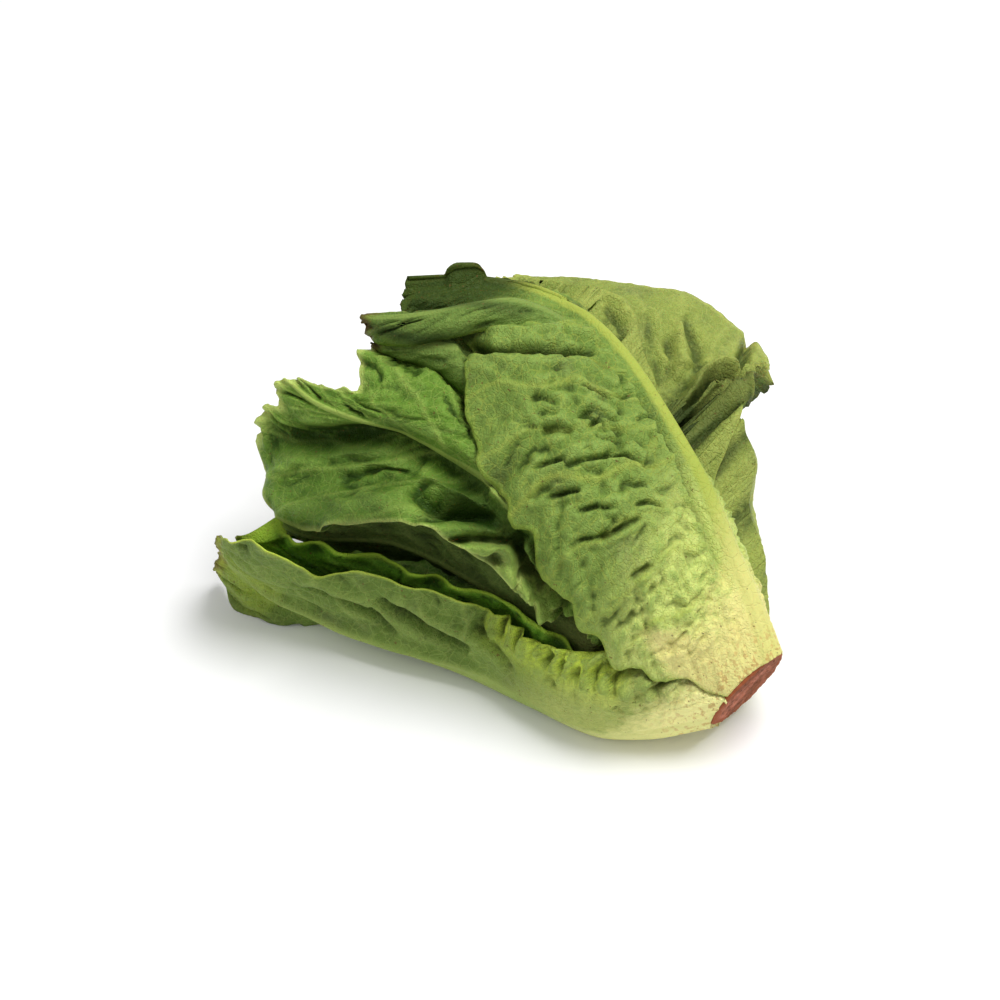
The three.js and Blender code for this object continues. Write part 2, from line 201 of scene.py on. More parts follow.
# A closed sheet from two grids of points that match, joined all round their rims.
def closedSheet(name, outer, inner, uv, marks):
    rows, wide = outer.shape[:2]
    index = np.arange(rows * wide).reshape(rows, wide)
    a, b = index[:-1, :-1], index[:-1, 1:]
    c, d = index[1:, 1:], index[1:, :-1]
    front = np.stack([a, d, c, b], -1).reshape(-1, 4)
    back = front[:, ::-1] + rows * wide
    loop = np.concatenate([index[0, :], index[1:, -1], index[-1, -2::-1], index[-2:0:-1, 0]])
    following = np.roll(loop, -1)
    rim = np.stack([loop, following, following + rows * wide, loop + rows * wide], -1)
    quads = np.concatenate([front, back, rim])
    points = np.concatenate([outer.reshape(-1, 3), inner.reshape(-1, 3)]) * mm
    return meshFrom(name, points, quads, np.concatenate([uv.reshape(-1, 2)] * 2), marks)


# A smooth-shaded mesh of quads from whole arrays, with its leaf map and its marks.
def meshFrom(name, points, quads, uv, marks):
    mesh = bpy.data.meshes.new(name)
    mesh.vertices.add(len(points))
    mesh.vertices.foreach_set("co", points.astype(np.float32).ravel())
    mesh.loops.add(quads.size)
    mesh.loops.foreach_set("vertex_index", quads.astype(np.int32).ravel())
    mesh.polygons.add(len(quads))
    mesh.polygons.foreach_set("loop_start", np.arange(0, quads.size, 4, dtype=np.int32))
    mesh.polygons.foreach_set("use_smooth", np.ones(len(quads), bool))
    mesh.update(calc_edges=True)
    layer = mesh.uv_layers.new(name="leafMap")
    layer.data.foreach_set("uv", uv[quads.ravel()].astype(np.float32).ravel())
    setMarks(mesh, marks)
    mesh.validate()
    return added(name, mesh)


# A line on a leaf: its path as (along, turn) points, its width, and how high it stands or how strong it is.
def line(path, width, height):
    return dict(path=path, width=width, height=height)


# What every leaf starts from. Paths are lists of such lines.
common = dict(
    blade=0.8,  # thickness of the blade
    ribWidth=(9, 2.5, 2.0),  # half the midrib's width: what it adds at the base, how fast that goes, the rest
    ribHeight=(2.2, 1.2),  # at the base and the tip
    veinGap=15,  # from one side vein to the next
    veinHeight=0.7,
    veinTurn=3.4,  # how much more the side veins slant along the leaf towards the tip
    crinkle=2.4,  # height of the blisters between the veins
    blister=(10, 17),  # their size along and across the leaf
    slits=(0, 9, 15),  # narrow creases along the veins: depth, and spacing along and across
    fibre=0.8,  # fine ribs near the base
    calm=(),  # paths where blisters and creases fade
    crumpled=(),  # paths where the leaf is finely crumpled
    hollowShade=(0.0, 1.3),  # depths at which painted shade in a hollow starts and is darkest
    margin=(0.965, 0.995),  # how far out its margin's tint starts and is full
    pleat=(0.8, 9),  # height and spacing of long folds beside the midrib
    waves=2.0,  # long soft undulation
    ruffle=(2.5, 2.5, 30),  # margin's wave: right, left, wavelength
    ragged=1.2,  # uneven outline
    tipDrop=(0, 0),  # how far its margins end short of the tip, as parts of its length: right, left
    bites=(),  # gaps in the tip: where across, how wide and how deep
    scallops=(None, None),  # stations and the degrees they add to the width: right half, left half
    folds=(),  # single folds
    arch=0,  # how far the tip's margins bend down, as in a half-rolled leaf
    pressed=1,  # 0 leaves the tip where it is, on top of the leaves it meets
    withered=0,  # how brown the tip is
    young=(0.55, 0.02),  # the parts of its length over which it turns pale towards its base
    shade=None,  # dark up to one part of its length, in full colour from another
    shadeDepth=1,  # how dark there
    washed=(),  # paths where it is as pale as its base
    paintedShade=(),  # paths of painted shade
    pale=(),  # paths where it is pale, like a side vein
    bright=(),  # paths where it is a lighter, yellower green
    frill=(0, 0),  # fine ruffle near the base: right margin's height, left margin's
    cells=(110, 60),  # rows along it and columns across
    crowded=0.45,  # how much closer together the columns are by the midrib, or by the margins if negative
    slot="outer_leaf",
)

# Long thin creases across the top leaf, each with a low ridge on its lower side.
creases = [
    [(126, -4), (120, -8), (114, -11)],
    [(112, 31), (110, 26.5), (106.5, 21), (101, 20.5)],
    [(103, 20), (99, 14), (95, 7), (91, 2), (82, -2)],
    [(109.5, 6), (109.5, -1), (103, 1)],
    [(100, 35), (95, 27), (92, 24)],
    [(87, 30), (83, 23.5), (78, 20)],
    [(74, 13), (72, 7), (66, 2)],
    [(80, 38), (73, 30), (70.5, 21), (69, 14)],
    [(55, 34), (54, 28), (54, 23)],
]

leafTop = dict(
    node="leaf_top", seed=11, finish="top", cells=(300, 150),
    along=[0.9, 36, 76, 121, 150, 167, 182, 197, 214],
    turn=[-14, -18, -25, -31, -36, -39, -32, -19, 4],
    out=[20.6, 41, 57, 65, 66, 61, 56, 51, 43],
    right=dict(
        span=[60, 33, 24, 18, 16, 15, 16, 16, 14],
        mid=[20.6, 40, 55, 64, 67, 64, 58, 52, 43],
        edge=[20.4, 34, 47, 57, 63, 64, 60, 52, 43],
    ),
    left=dict(
        span=[68, 89, 82, 77, 70, 59, 41, 28, 16],
        mid=[20.6, 44, 61, 67, 66, 60, 55, 50, 43],
        edge=[20.4, 44, 58, 61, 58, 53, 49, 46, 42],
    ),
    ribWidth=(5.0, 1.6, 2.2), ribHeight=(4.5, 3.6), crinkle=2.6, ruffle=(0.8, 2.0, 34),
    blister=(7, 12), slits=(2.2, 7, 12), hollowShade=(0.1, 1.8), young=(0.55, 0.04), shade=(0.84, 0.76), waves=2.5,
    tipDrop=(0, 0.05), ragged=0.7,
    scallops=(None, (
        [0, 8, 16, 24, 32, 40, 50, 58, 66, 76, 86, 95, 104, 112, 122, 135, 150, 250],
        [0, 3, -3, 3, -2, 4, -3, 2, -3, 2, 4, -3, 2, -2, 2, -1, 0, 0],
    )),
    crumpled=[
        line([(104, 40), (88, 40), (70, 42), (52, 46), (34, 50)], 13, 0.55),
        line([(92, 18), (70, 18), (48, 24), (30, 30)], 12, 0.4),
    ],
    washed=[line([(44, 50), (32, 48), (20, 46), (8, 44)], 7, 0.35)],
    # painted shadow in the deep fold below the tip and in a slot nearer the tip
    paintedShade=[
        line([(174, 8), (163, 8), (156, 2), (145, -8), (136, -23)], 2.2, 1.0),
        line([(206, 12), (196, 6), (184, -2), (176, -12)], 1.6, 0.7),
    ],
    calm=[
        line([(182, -4), (165, 16), (145, 28), (124, 40)], 14, 1),
        line([(190, -32), (203, -14), (214, 4)], 16, 1),
    ],
    folds=[
        line([(194, -23), (199, -16), (203, -9)], 3.0, 5.5),  # the knob on the tip
        # a groove and a ridge beside the midrib
        line([(116, -25), (88, -20), (60, -14), (28, -5)], 1.8, -3),
        line([(104, -20), (80, -14), (55, -8), (22, 4)], 2, 1.4),
        # the deep fold across the leaf below its tip, and what lies along it
        line([(176, 9), (163, 8), (156, 2), (145, -8), (136, -24)], 2.2, -13),
        line([(172, 1), (158, -8), (143, -28)], 3, 3),
        line([(168, -16), (156, -24), (146, -31)], 1.6, -5),
        line([(158, -17), (148, -24), (138, -29)], 2.2, 3),
        line([(170, 14), (155, 9), (143, 2), (132, -14)], 2.4, 2),
        # two short creases
        line([(134, 13), (130, 10), (123, 8)], 1.6, -4),
        line([(120, 20), (118, 14), (112, 11)], 1.6, -4),
    ] + [
        line([(a + shift, b) for a, b in path], width, height)
        for path in creases
        for shift, width, height in ((0, 0.95, -4.2), (-2.4, 1.4, 1.8))
    ],
)

leafFront = dict(
    node="leaf_front", seed=23, finish="front", cells=(280, 120),
    along=[0.9, 16, 31, 60, 92, 125, 155, 180, 203],
    turn=[128, 129, 129, 129, 128, 126, 124, 122, 120],
    out=[20.8, 42, 56, 67, 80, 95, 108, 116, 117],
    right=dict(
        span=[70, 64, 52, 28, 24, 22, 20, 18, 15],
        mid=[20.6, 37, 50, 61, 68, 84, 102, 114, 117],
        edge=[20.4, 28, 38, 50, 55, 73, 96, 111, 115],
    ),
    left=dict(
        span=[44, 40, 36, 34, 30, 22, 9, 7, 9],
        mid=[20.6, 35, 45, 56, 66, 84, 112, 126, 125],
        edge=[20.4, 30, 37, 45, 54, 76, 115, 132, 128],
    ),
    scallops=((
        [0, 8, 20, 32, 45, 60, 75, 92, 104, 115, 131, 144, 155, 167, 180, 192, 204],
        [0, 9, 12, 14, 18, 14, 7, 4, 5, 5, 4, 6, 0, 5, 8, 4, -2],
    ), None),
    tipDrop=(0.02, 0), crinkle=0.8, ruffle=(1.2, 0.5, 30), ribWidth=(14, 1.2, 4.0), ribHeight=(1.5, 1.0),
    pleat=(1.6, 13), waves=1.5, frill=(6, 0), withered=0.8, slits=(2.5, 12, 9), young=(0.6, 0.05),
    veinHeight=0.4, blister=(12, 8), hollowShade=(0.3, 2.8),
    crumpled=[
        line([(108, 99), (89, 98), (66, 90), (50, 82), (38, 78), (26, 78)], 11, 0.9),
    ],
    bright=[
        line([(96, 99), (84, 98), (66, 92), (50, 84), (30, 79)], 11, 1.0),
        line([(202, 116), (185, 120), (168, 122)], 16, 0.35),
    ],
    pale=[line([(196, 113), (181, 118), (167, 120.5), (147, 122), (120, 122)], 1.4, 1.2)],
    # painted shade on the face below the pale ridge near the tip
    paintedShade=[line([(196, 128), (180, 130), (158, 129)], 7, 0.5)],
    folds=[
        # the pale ridge and the groove beside it
        line([(196, 113), (181, 118), (167, 120.5), (147, 122), (128, 122), (84, 122)], 2, 4),
        line([(192, 119), (176, 124), (160, 125), (140, 126)], 3.5, -3),
        # ridges and grooves in turn, further up
        line([(160, 106), (139, 108), (121, 114)], 2.5, 2.5),
        line([(160, 111), (138, 112.5), (120, 119)], 2.2, -5),
        line([(129, 105), (110, 109), (90, 112)], 2.5, 2.5),
        line([(133, 108.5), (112, 113.5), (92, 116.5)], 2.5, -7),
        line([(100, 107), (84, 110), (70, 112)], 2, -3),
    ] + [  # short ones across the right margin, where its base half is crumpled
        line([(a, 61 + 0.4 * a), (a - 1, 68 + 0.38 * a), (a - 5, 76 + 0.36 * a)], 1.0, height)
        for a, height in zip(np.arange(22, 100, 3.7), [-3.5, 2.5, -2, 3, -4, 2] * 4)
    ],
)

leafRight = dict(
    node="leaf_right", seed=37, finish="right", cells=(230, 124), crowded=0,
    along=[7, 40, 70, 84, 98, 125, 147, 172, 198],
    turn=[-46, -40, -40, -40, -40, -40, -39, -38, -34],
    out=[19, 37, 49, 54, 58, 60, 59, 55, 48],
    right=dict(
        span=[38, 18, 16, 22, 31, 34, 32, 26, 16],
        mid=[19, 36, 48, 56, 66, 72, 71, 65, 52],
        edge=[19, 35, 50, 86, 110, 113, 107, 84, 58],
    ),
    left=dict(
        span=[34, 28, 32, 36, 40, 42, 42, 38, 28],
        mid=[19, 36, 48, 53, 56, 58, 57, 53, 46],
        edge=[18, 35, 46, 51, 54, 56, 55, 52, 45],
    ),
    scallops=(([0, 68, 78, 85, 91, 97, 250], [0, 0, -5, -9, -7, 0, 0]), None),
    tipDrop=(0.04, 0.06), crinkle=0.7, ruffle=(0.6, 1.5, 34), pleat=(0.6, 12), waves=1.2, blister=(9, 9),
    hollowShade=(0.2, 2.2),
    crumpled=[
        line([(113, -48), (107, -54), (98, -56), (88, -54), (80, -53)], 12, 0.9),
        line([(112, -60), (104, -62), (96, -62), (88, -60)], 6, 0.6),
    ],
    # painted shade in and beside the knot at the lower edge
    paintedShade=[
        line([(104, -54), (102, -58), (99, -62), (94, -64)], 5, 0.5),
        line([(98, -48), (96, -54), (90, -56), (84, -55)], 4, 0.7),
        line([(110, -53), (101, -51.5), (94, -52), (83, -50.6)], 2.5, 0.8),
        line([(112, -50), (104, -56), (94, -58), (84, -54)], 12, 0.22),
    ],
    folds=[
        # the knot at the lower edge, ridges and grooves in turn
        line([(105, -46), (103, -54), (104, -58), (107, -60.5), (106, -64), (100, -66), (93, -66)], 2.2, 10),
        line([(101, -52), (101, -57), (102, -61), (98, -63.5), (92, -63.5)], 1.6, -9),
        line([(99, -50), (98, -57), (97, -61), (92, -62)], 1.8, 8),
        line([(96, -48), (94.5, -56), (93, -60), (88, -60)], 1.8, -9),
        line([(92, -48), (90.5, -54), (86, -57)], 2.0, 6),
        line([(88, -48), (86, -53), (81, -55)], 1.8, -6),
        # the flaring half beyond it
        line([(113, -74), (104, -68), (97, -66)], 1.8, -6),
        line([(136, -68), (119, -65), (109, -61)], 1.6, -3),
        line([(138, -66), (121, -63), (110, -59)], 1.6, 2.5),
        line([(146, -62), (124, -57), (108, -51)], 2.0, -2.5),
        line([(130, -58), (118, -60), (110, -66)], 1.8, 2.5),
        line([(150, -56), (132, -53), (116, -50)], 1.8, 2.5),
        line([(171, -55.5), (165, -58), (156, -60), (146, -58.5), (135, -54.5), (126, -52)], 1.7, 3.5),
        line([(158, -56.5), (147, -55.5), (136, -51.5)], 1.4, -3.5),
        line([(135, -66), (123.5, -62.5), (113, -57.5)], 1.5, 3),
        line([(132, -63), (122, -60), (115, -56)], 1.3, -3),
        line([(116, -76), (107, -71.5), (97, -65)], 1.2, -5),
    ],
)

leafBack = dict(
    node="leaf_back", seed=41, finish="right", cells=(140, 90), crowded=0.2,
    along=[5, 14, 40, 57, 77, 116, 153, 192],
    turn=[-106, -106, -105, -104, -102, -100, -100, -98],
    out=[20, 27, 46, 57, 68, 74, 74, 62],
    right=dict(
        span=[40, 42, 48, 48, 48, 45, 40, 28],
        mid=[20, 26, 44, 54, 65, 72, 74, 64],
        edge=[19, 24, 41, 50, 60, 69, 72, 63],
    ),
    left=dict(
        span=[46, 48, 50, 50, 48, 42, 36, 24],
        mid=[20, 28, 48, 60, 76, 78, 73, 60],
        edge=[20, 28, 47, 59, 77, 76, 70, 58],
    ),
    tipDrop=(0.14, 0.14), crinkle=1.6, blister=(5, 5), pleat=(0.2, 9), young=(0.25, 0.02), veinHeight=0.3,
    ribWidth=(2.5, 2.5, 1.2), fibre=0, waves=1,
    bright=[line([(95, -74), (74, -82), (54, -84), (30, -80)], 18, 1.0)],
    # painted shadow where it meets the top leaf's midrib
    paintedShade=[line([(100, -91), (86, -96), (76, -98.5), (67, -97), (52, -94)], 3, 0.8)],
)

leafBackLow = dict(
    node="leaf_back_low", seed=43, finish="top", cells=(120, 64),
    along=[5, 20, 50, 90, 135, 180, 212],
    turn=[-150, -150, -149, -148, -147, -146, -145],
    out=[21, 32, 50, 68, 82, 90, 84],
    right=dict(
        span=[38, 40, 42, 40, 36, 30, 20],
        mid=[20, 30, 45, 60, 74, 82, 78],
        edge=[19, 28, 40, 53, 66, 76, 74],
    ),
    left=dict(
        span=[36, 38, 42, 42, 38, 32, 20],
        mid=[20, 31, 48, 66, 80, 87, 80],
        edge=[19, 29, 46, 63, 75, 81, 76],
    ),
    tipDrop=(0.14, 0.14), crinkle=2.6,
)

leafUnder = dict(
    node="leaf_under", seed=47, finish="front", cells=(120, 60),
    along=[7, 30, 62, 100, 145, 185, 214],
    turn=[178, 178, 176, 174, 172, 172, 172],
    out=[19, 30, 42, 54, 66, 74, 76],
    right=dict(
        span=[40, 38, 38, 36, 34, 30, 20],
        mid=[19, 32, 46, 60, 74, 82, 82],
        edge=[18, 34, 50, 64, 80, 88, 86],
    ),
    left=dict(
        span=[36, 38, 40, 40, 36, 30, 20],
        mid=[19, 31, 44, 57, 70, 78, 78],
        edge=[18, 30, 44, 58, 72, 80, 80],
    ),
    tipDrop=(0.12, 0.12),
)

leafUpperLeft = dict(
    node="leaf_upper_left", seed=53, finish="roll", cells=(190, 50),
    along=[12, 60, 110, 150, 172, 181, 190, 205, 213],
    turn=[-50, -44, -40, -32, -14, 0.5, 14, 29, 35],
    out=[18, 38, 52, 62, 64, 63, 61, 57, 55],
    right=dict(
        span=[30, 34, 30, 14, 9, 9, 9, 9, 5],
        mid=[18, 37, 52, 62, 64, 63, 61, 57, 55],
        edge=[18, 36, 50, 61, 63, 62, 60, 56, 54],
    ),
    left=dict(
        span=[30, 36, 30, 14, 11, 12, 12, 11, 6],
        mid=[18, 37, 51, 62, 64, 63, 61, 57, 55],
        edge=[18, 36, 49, 61, 63, 62, 60, 56, 54],
    ),
    crinkle=0.8, blister=(9, 5), slits=(3, 12, 6), ruffle=(0.3, 0.3, 40), waves=1.2, arch=9,
    ribHeight=(1.0, 0.3), pleat=(0.9, 7), pressed=0, withered=0.9, ragged=0.3, tipDrop=(0.03, 0.03),
    # painted shadow along the roll's margins, where it meets the leaves beside it
    paintedShade=[
        line([(214, 39), (203, 35), (196, 31.5), (186, 24.5), (178, 14.5), (172, 5)], 2.2, 1.0),
        line([(204, 21), (191, 11.5), (183, 3), (176, -4), (164, -17)], 2.2, 0.8),
    ],
)

leafUpperInner = dict(
    node="leaf_upper_inner", seed=59, finish="roll", cells=(160, 50),
    along=[14, 60, 110, 150, 170, 182, 194, 204],
    turn=[30, 6, -4, 2, 12, 20, 31, 39],
    out=[18, 37, 50, 54, 52, 51, 50, 49],
    right=dict(
        span=[30, 34, 34, 26, 22, 19, 15, 7],
        mid=[18, 36, 49, 53, 53, 52, 51, 49],
        edge=[18, 35, 47, 51, 51, 50, 49, 48],
    ),
    left=dict(
        span=[30, 34, 34, 26, 16, 13, 10, 5],
        mid=[18, 36, 49, 53, 52, 51, 50, 49],
        edge=[18, 35, 47, 51, 49, 48, 48, 48],
    ),
    crinkle=0.6, ruffle=(0.3, 0.3, 40), waves=0.8, arch=8, ribHeight=(1.0, 0.3), pleat=(0.8, 8),
    withered=0.9, ragged=0.3,
    # painted shadow along its upper margin, under the roll above it
    paintedShade=[
        line([(204, 38), (197, 29.5), (187, 21), (178, 14)], 1.6, 0.8),
        line([(190, 39), (180, 33), (170, 26)], 2, 0.4),
    ],
)

leafLeft = dict(
    node="leaf_left", seed=61, finish="left", cells=(250, 140),
    along=[11, 60, 112, 136, 162, 185, 205, 224],
    turn=[70, 52, 45.5, 51, 58, 65, 71, 74],
    out=[19, 40, 57, 58, 62, 65, 66, 65],
    right=dict(
        span=[38, 42, 41, 43, 44, 43, 37, 36],
        mid=[18.5, 40, 55, 57, 59, 61, 60, 58],
        edge=[18, 39, 50, 50, 48, 47, 50, 52],
    ),
    left=dict(
        span=[30, 28, 24, 21, 33, 38, 33, 27],
        mid=[18.5, 39, 55, 60, 65, 70, 73, 72],
        edge=[18, 38, 66, 80, 89, 91, 88, 77],
    ),
    tipDrop=(0.1, 0.03), bites=[dict(at=-0.42, width=0.3, depth=28), dict(at=0.33, width=0.1, depth=8)],
    crinkle=1.4, ruffle=(1.5, 2.0, 36), ribWidth=(8, 2.0, 1.8), pleat=(1.2, 12), frill=(0, 8),
    slits=(2.5, 16, 18),
    crumpled=[
        line([(118, 64), (108, 64), (97, 64), (86, 69), (76, 76), (70, 82)], 9, 0.8),
    ],
    scallops=(None, ([0, 60, 68, 74, 80, 88, 96, 250], [0, 0, 6, 10, 9, 4, 0, 0])),
    # painted shade under the deep crease, over the half below it and in folds nearer the base
    paintedShade=[
        line([(214, 97), (190, 83), (176, 72), (163, 63)], 5, 0.7),
        line([(140, 66), (158, 80), (182, 100)], 18, 0.5),
        line([(146, 60), (122, 56), (100, 58), (80, 60)], 9, 0.8),
        line([(134, 66), (120, 62), (108, 60)], 5, 0.5),
    ],
    bright=[
        line([(114, 69), (106, 67), (98, 67), (88, 72), (79, 79), (72, 84)], 7, 1.0),
    ],
    folds=[
        # the deep crease from the tip, with a ridge on each side, and the swelling below it
        line([(214, 95), (189, 78), (178, 69), (166, 62), (145, 57), (120, 50)], 6, -14),
        line([(214, 90), (189, 72), (178, 63.5), (166, 57)], 2.5, 3),
        line([(203, 101), (190, 88), (175, 75), (163, 66)], 2, 2.5),
        line([(134, 64), (142, 70), (155, 81), (170, 91), (190, 104)], 6, 6),
        # ridges and grooves in turn, nearer the base
        line([(150, 63), (133, 59.5), (119, 55)], 2.6, 7),
        line([(144, 68), (128, 63), (112, 58)], 2.2, -10),
        line([(130, 70), (118, 66), (106, 60)], 2.6, 7),
        line([(122, 71), (112, 65.5), (102, 61)], 1.8, -9),
        # the twisted strand along the margin, notches across it, and grooves and ridges beside it
        line([(114, 68), (107, 65), (100, 64), (96, 69), (88, 73), (79, 77), (72, 81)], 3, 11),
        line([(104, 66), (99, 68.5)], 1.5, -5),
        line([(93, 67), (90, 74)], 1.5, -5),
        line([(84, 71), (81, 78)], 1.5, -5),
        line([(120, 71), (110, 68), (104, 67)], 2.2, 6),
        line([(92, 66), (82, 72), (74, 79), (68, 84)], 1.6, -6),
        line([(104, 58), (95, 61), (88, 66), (78, 70), (70, 74)], 2.5, -12),
        line([(98, 54), (90, 58), (82, 62)], 2, 7),
        line([(88, 56), (80, 60), (73, 66)], 2, 6),
    ],
)

leafFrontInner = dict(
    node="leaf_front_inner", seed=67, cells=(170, 70),
    along=[10, 24, 50, 90, 140, 178, 196],
    turn=[120, 119, 118, 118, 118, 117, 115],
    out=[20, 40, 54, 64, 84, 101, 110],
    right=dict(
        span=[34, 32, 28, 22, 17.5, 12, 5],
        mid=[19, 35, 48, 58, 79, 99, 109],
        edge=[18, 30, 42, 49, 73, 95, 107],
    ),
    left=dict(
        span=[32, 34, 34, 30, 26, 18, 5],
        mid=[19, 35, 48, 60, 80, 100, 113],
        edge=[18, 30, 42, 54, 74, 96, 111],
    ),
    tipDrop=(0, 0.04), finish="fresh", crinkle=1.0, slits=(1.5, 9, 9), ruffle=(2.5, 1, 26), waves=1.0,
    withered=0.5, margin=(0.9, 0.96),
)

leafFrontMid = dict(
    node="leaf_front_mid", seed=71, finish="front", cells=(130, 66),
    along=[13, 45, 95, 145, 172, 190],
    turn=[96, 102, 106, 108, 110, 110],
    out=[19, 36, 46, 62, 83, 92],
    right=dict(
        span=[32, 32, 28, 22, 12, 5],
        mid=[19, 35, 43, 58, 81, 91],
        edge=[18, 32, 39, 54, 78, 89],
    ),
    left=dict(
        span=[36, 38, 36, 32, 24, 8],
        mid=[19, 36, 45, 62, 83, 92],
        edge=[18, 36, 44, 60, 81, 91],
    ),
    # painted shade over all but its tip, which lies deep in the head
    tipDrop=(0.05, 0.05), crinkle=1.6, shade=(0.88, 1.0), shadeDepth=0.6, margin=(1.2, 1.3),
)

# The leaves inside them fill the space that the outer ones leave.
space = dict(along=[4, 20, 50, 95, 140, 185, 225], out=[17, 24, 34, 48, 55, 54, 46])
folded = [
    dict(node="leaf_mid_1", start=17, tip=205, turn=-128, twist=4, span=70, share=0.94),
    dict(node="leaf_mid_2", start=20, tip=200, turn=132, twist=6, span=66, share=0.88),
    dict(node="leaf_mid_3", start=24, tip=198, turn=-64, twist=8, span=62, share=0.8),
    dict(node="leaf_mid_4", start=28, tip=194, turn=40, twist=6, span=68, share=0.8),
]
heart = dict(
    count=4, firstTurn=60, growthAngle=137.5,
    start=(40, 74), tip=(190, 142), share=(0.62, 0.26), span=(56, 66),
)
spread = dict(  # width on the way from base to tip
    folded=[0.9, 0.95, 1, 0.92, 0.72, 0.42],
    heart=[0.4, 0.7, 1, 0.95, 0.75, 0.45],
)


# A leaf in the folded head: at every station it lies at a share of the space's radius there, is as wide
# as the shape's share of its span, and turns faster and faster from base to tip.
def nestedLeaf(node, start, tip, turn, twist, span, share, shape, **look):
    stations = start + (tip - start) * np.array([0, 0.18, 0.4, 0.62, 0.82, 1])
    widths = span * np.array(shape)
    radii = np.maximum(share * curveThrough(space["along"], space["out"], stations), 5)
    half = dict(span=widths, mid=radii, edge=radii)
    turns = turn + twist * ((stations - start) / (tip - start)) ** 2
    return dict(
        node=node, along=stations, turn=turns, out=radii, right=half, left=half,
        tipDrop=(0.16, 0.16), **look,
    )


# The heart's leaves: sizes go evenly from the outermost to the smallest, turns by the growth angle.
def heartLeaf(k):
    t = k / (heart["count"] - 1)
    between = lambda pair: pair[0] + (pair[1] - pair[0]) * t
    return nestedLeaf(
        node=f"leaf_heart_{k + 1}", start=between(heart["start"]), tip=between(heart["tip"]),
        turn=heart["firstTurn"] + heart["growthAngle"] * k, twist=0,
        span=between(heart["span"]), share=between(heart["share"]), shape=spread["heart"],
        seed=100 + k, finish="heart", slot="heart_leaf", cells=(64, 36), crinkle=2.2, ribHeight=(1.2, 0.5),
    )


# From the outermost in, which is the order that they are laid in.
leaves = [
    leafTop, leafFront, leafRight, leafBack, leafBackLow, leafUnder,
    leafUpperLeft, leafUpperInner, leafLeft, leafFrontInner, leafFrontMid,
]
leaves += [
    nestedLeaf(**leaf, shape=spread["folded"], seed=80 + k, finish="mid", slot="mid_leaf", cells=(70, 44))
    for k, leaf in enumerate(folded)
]
leaves += [heartLeaf(k) for k in range(heart["count"])]


# The smooth outer side of a leaf, on a grid of rows from base to tip and columns from the right
# margin over the midrib to the left one. Its curves run through the stations along it, and across it
# through the radii at margin, half way and midrib.
def smoothSide(leaf, u, v):
    along = np.asarray(leaf["along"], float)
    noise = lambda x, y, n: gradientNoise(x, y, leaf["seed"] + n)
    station = along[0] + (along[-1] - along[0]) * u[:, 0]
    halves = (leaf["right"], leaf["left"])
    columns = [halves[0]["edge"], halves[0]["mid"], leaf["out"], halves[1]["mid"], halves[1]["edge"]]
    radii = curveThrough(along, np.stack(columns, -1), station)  # five to a row
    out = curveThrough([-1, -0.5, 0, 0.5, 1], radii.T, v[0]).T
    out = out - leaf["arch"] * (1 - np.sqrt(1 - 0.97 * v ** 2)) * smoothStep(0.5, 0.75, u)
    turn = curveThrough(along, leaf["turn"], station)[:, None]
    span = np.where(
        v < 0,
        curveThrough(along, halves[0]["span"], station)[:, None],
        curveThrough(along, halves[1]["span"], station)[:, None],
    )
    for half, scallops in zip((v < 0, v > 0), leaf["scallops"]):
        if scallops:
            span = span + np.where(half, curveThrough(*scallops, station)[:, None], 0)
    drop = np.where(v < 0, *leaf["tipDrop"]) * v ** 2 * u ** 4 * (along[-1] - along[0])
    for bite in leaf["bites"]:
        drop = drop + bite["depth"] * np.exp(-(((v - bite["at"]) / bite["width"]) ** 2)) * u ** 4
    rough = leaf["ragged"] * smoothStep(0.85, 1, u)
    across, level = v * 60, station[:, None]
    torn = noise(across / 9, u * 0 + 3.3, 1) + 0.5 * noise(across / 3.5, u * 0 + 8.1, 2) + 0.5
    drop = drop + rough * torn
    ripple = noise(level / 11, v * 0 + 5.5, 3) + 0.5 * noise(level / 4, v * 0 + 1.5, 4)
    span = span * (1 + 0.025 * leaf["ragged"] * ripple * smoothStep(0.8, 1, abs(v)))
    return place(level - drop, turn + span * v, out)


# Outward normals of a grid of points: at right angles to both directions of the grid.
def gridNormals(points):
    normal = np.cross(np.gradient(points, axis=0), np.gradient(points, axis=1))
    return normal / np.maximum(np.linalg.norm(normal, axis=-1, keepdims=True), 1e-9)


# Distances on the leaf, added up from point to point: across from the midrib, along from the base.
def leafDistances(points, middle):
    steps = np.linalg.norm(np.diff(points, axis=1), axis=-1)
    across = np.concatenate([np.zeros((len(points), 1)), np.cumsum(steps, 1)], 1)
    across = across - across[:, middle:middle + 1]
    rises = np.linalg.norm(np.diff(points[:, middle], axis=0), axis=-1)
    up = np.concatenate([[0], np.cumsum(rises)])[:, None]
    return across, up + np.zeros_like(across)


# Noise folded at nought: rounded hills between narrow valleys, from about -0.4 to 1.
def puffs(x, y, seed):
    return np.sqrt(gradientNoise(x, y, seed) ** 2 + 0.006) * 2.1 - 0.6


# Blisters: uneven cells with a rounded top each and narrow valleys between them, from 0 to 1. A cell
# is all that lies nearest to its own point, one of which is set at random in every square.
def blisters(x, y, seed):
    shifts = np.random.default_rng(seed).random((64, 64, 2))
    i, j = np.floor(x).astype(int), np.floor(y).astype(int)
    first = np.full(x.shape, 9.0)
    second = np.full(x.shape, 9.0)
    for a in (-1, 0, 1):
        for b in (-1, 0, 1):
            point = shifts[(i + a) % 64, (j + b) % 64]
            distance = np.hypot(i + a + point[..., 0] - x, j + b + point[..., 1] - y)
            second = np.minimum(second, np.maximum(first, distance))
            first = np.minimum(first, distance)
    return smoothStep(0.0, 0.3, second - first)


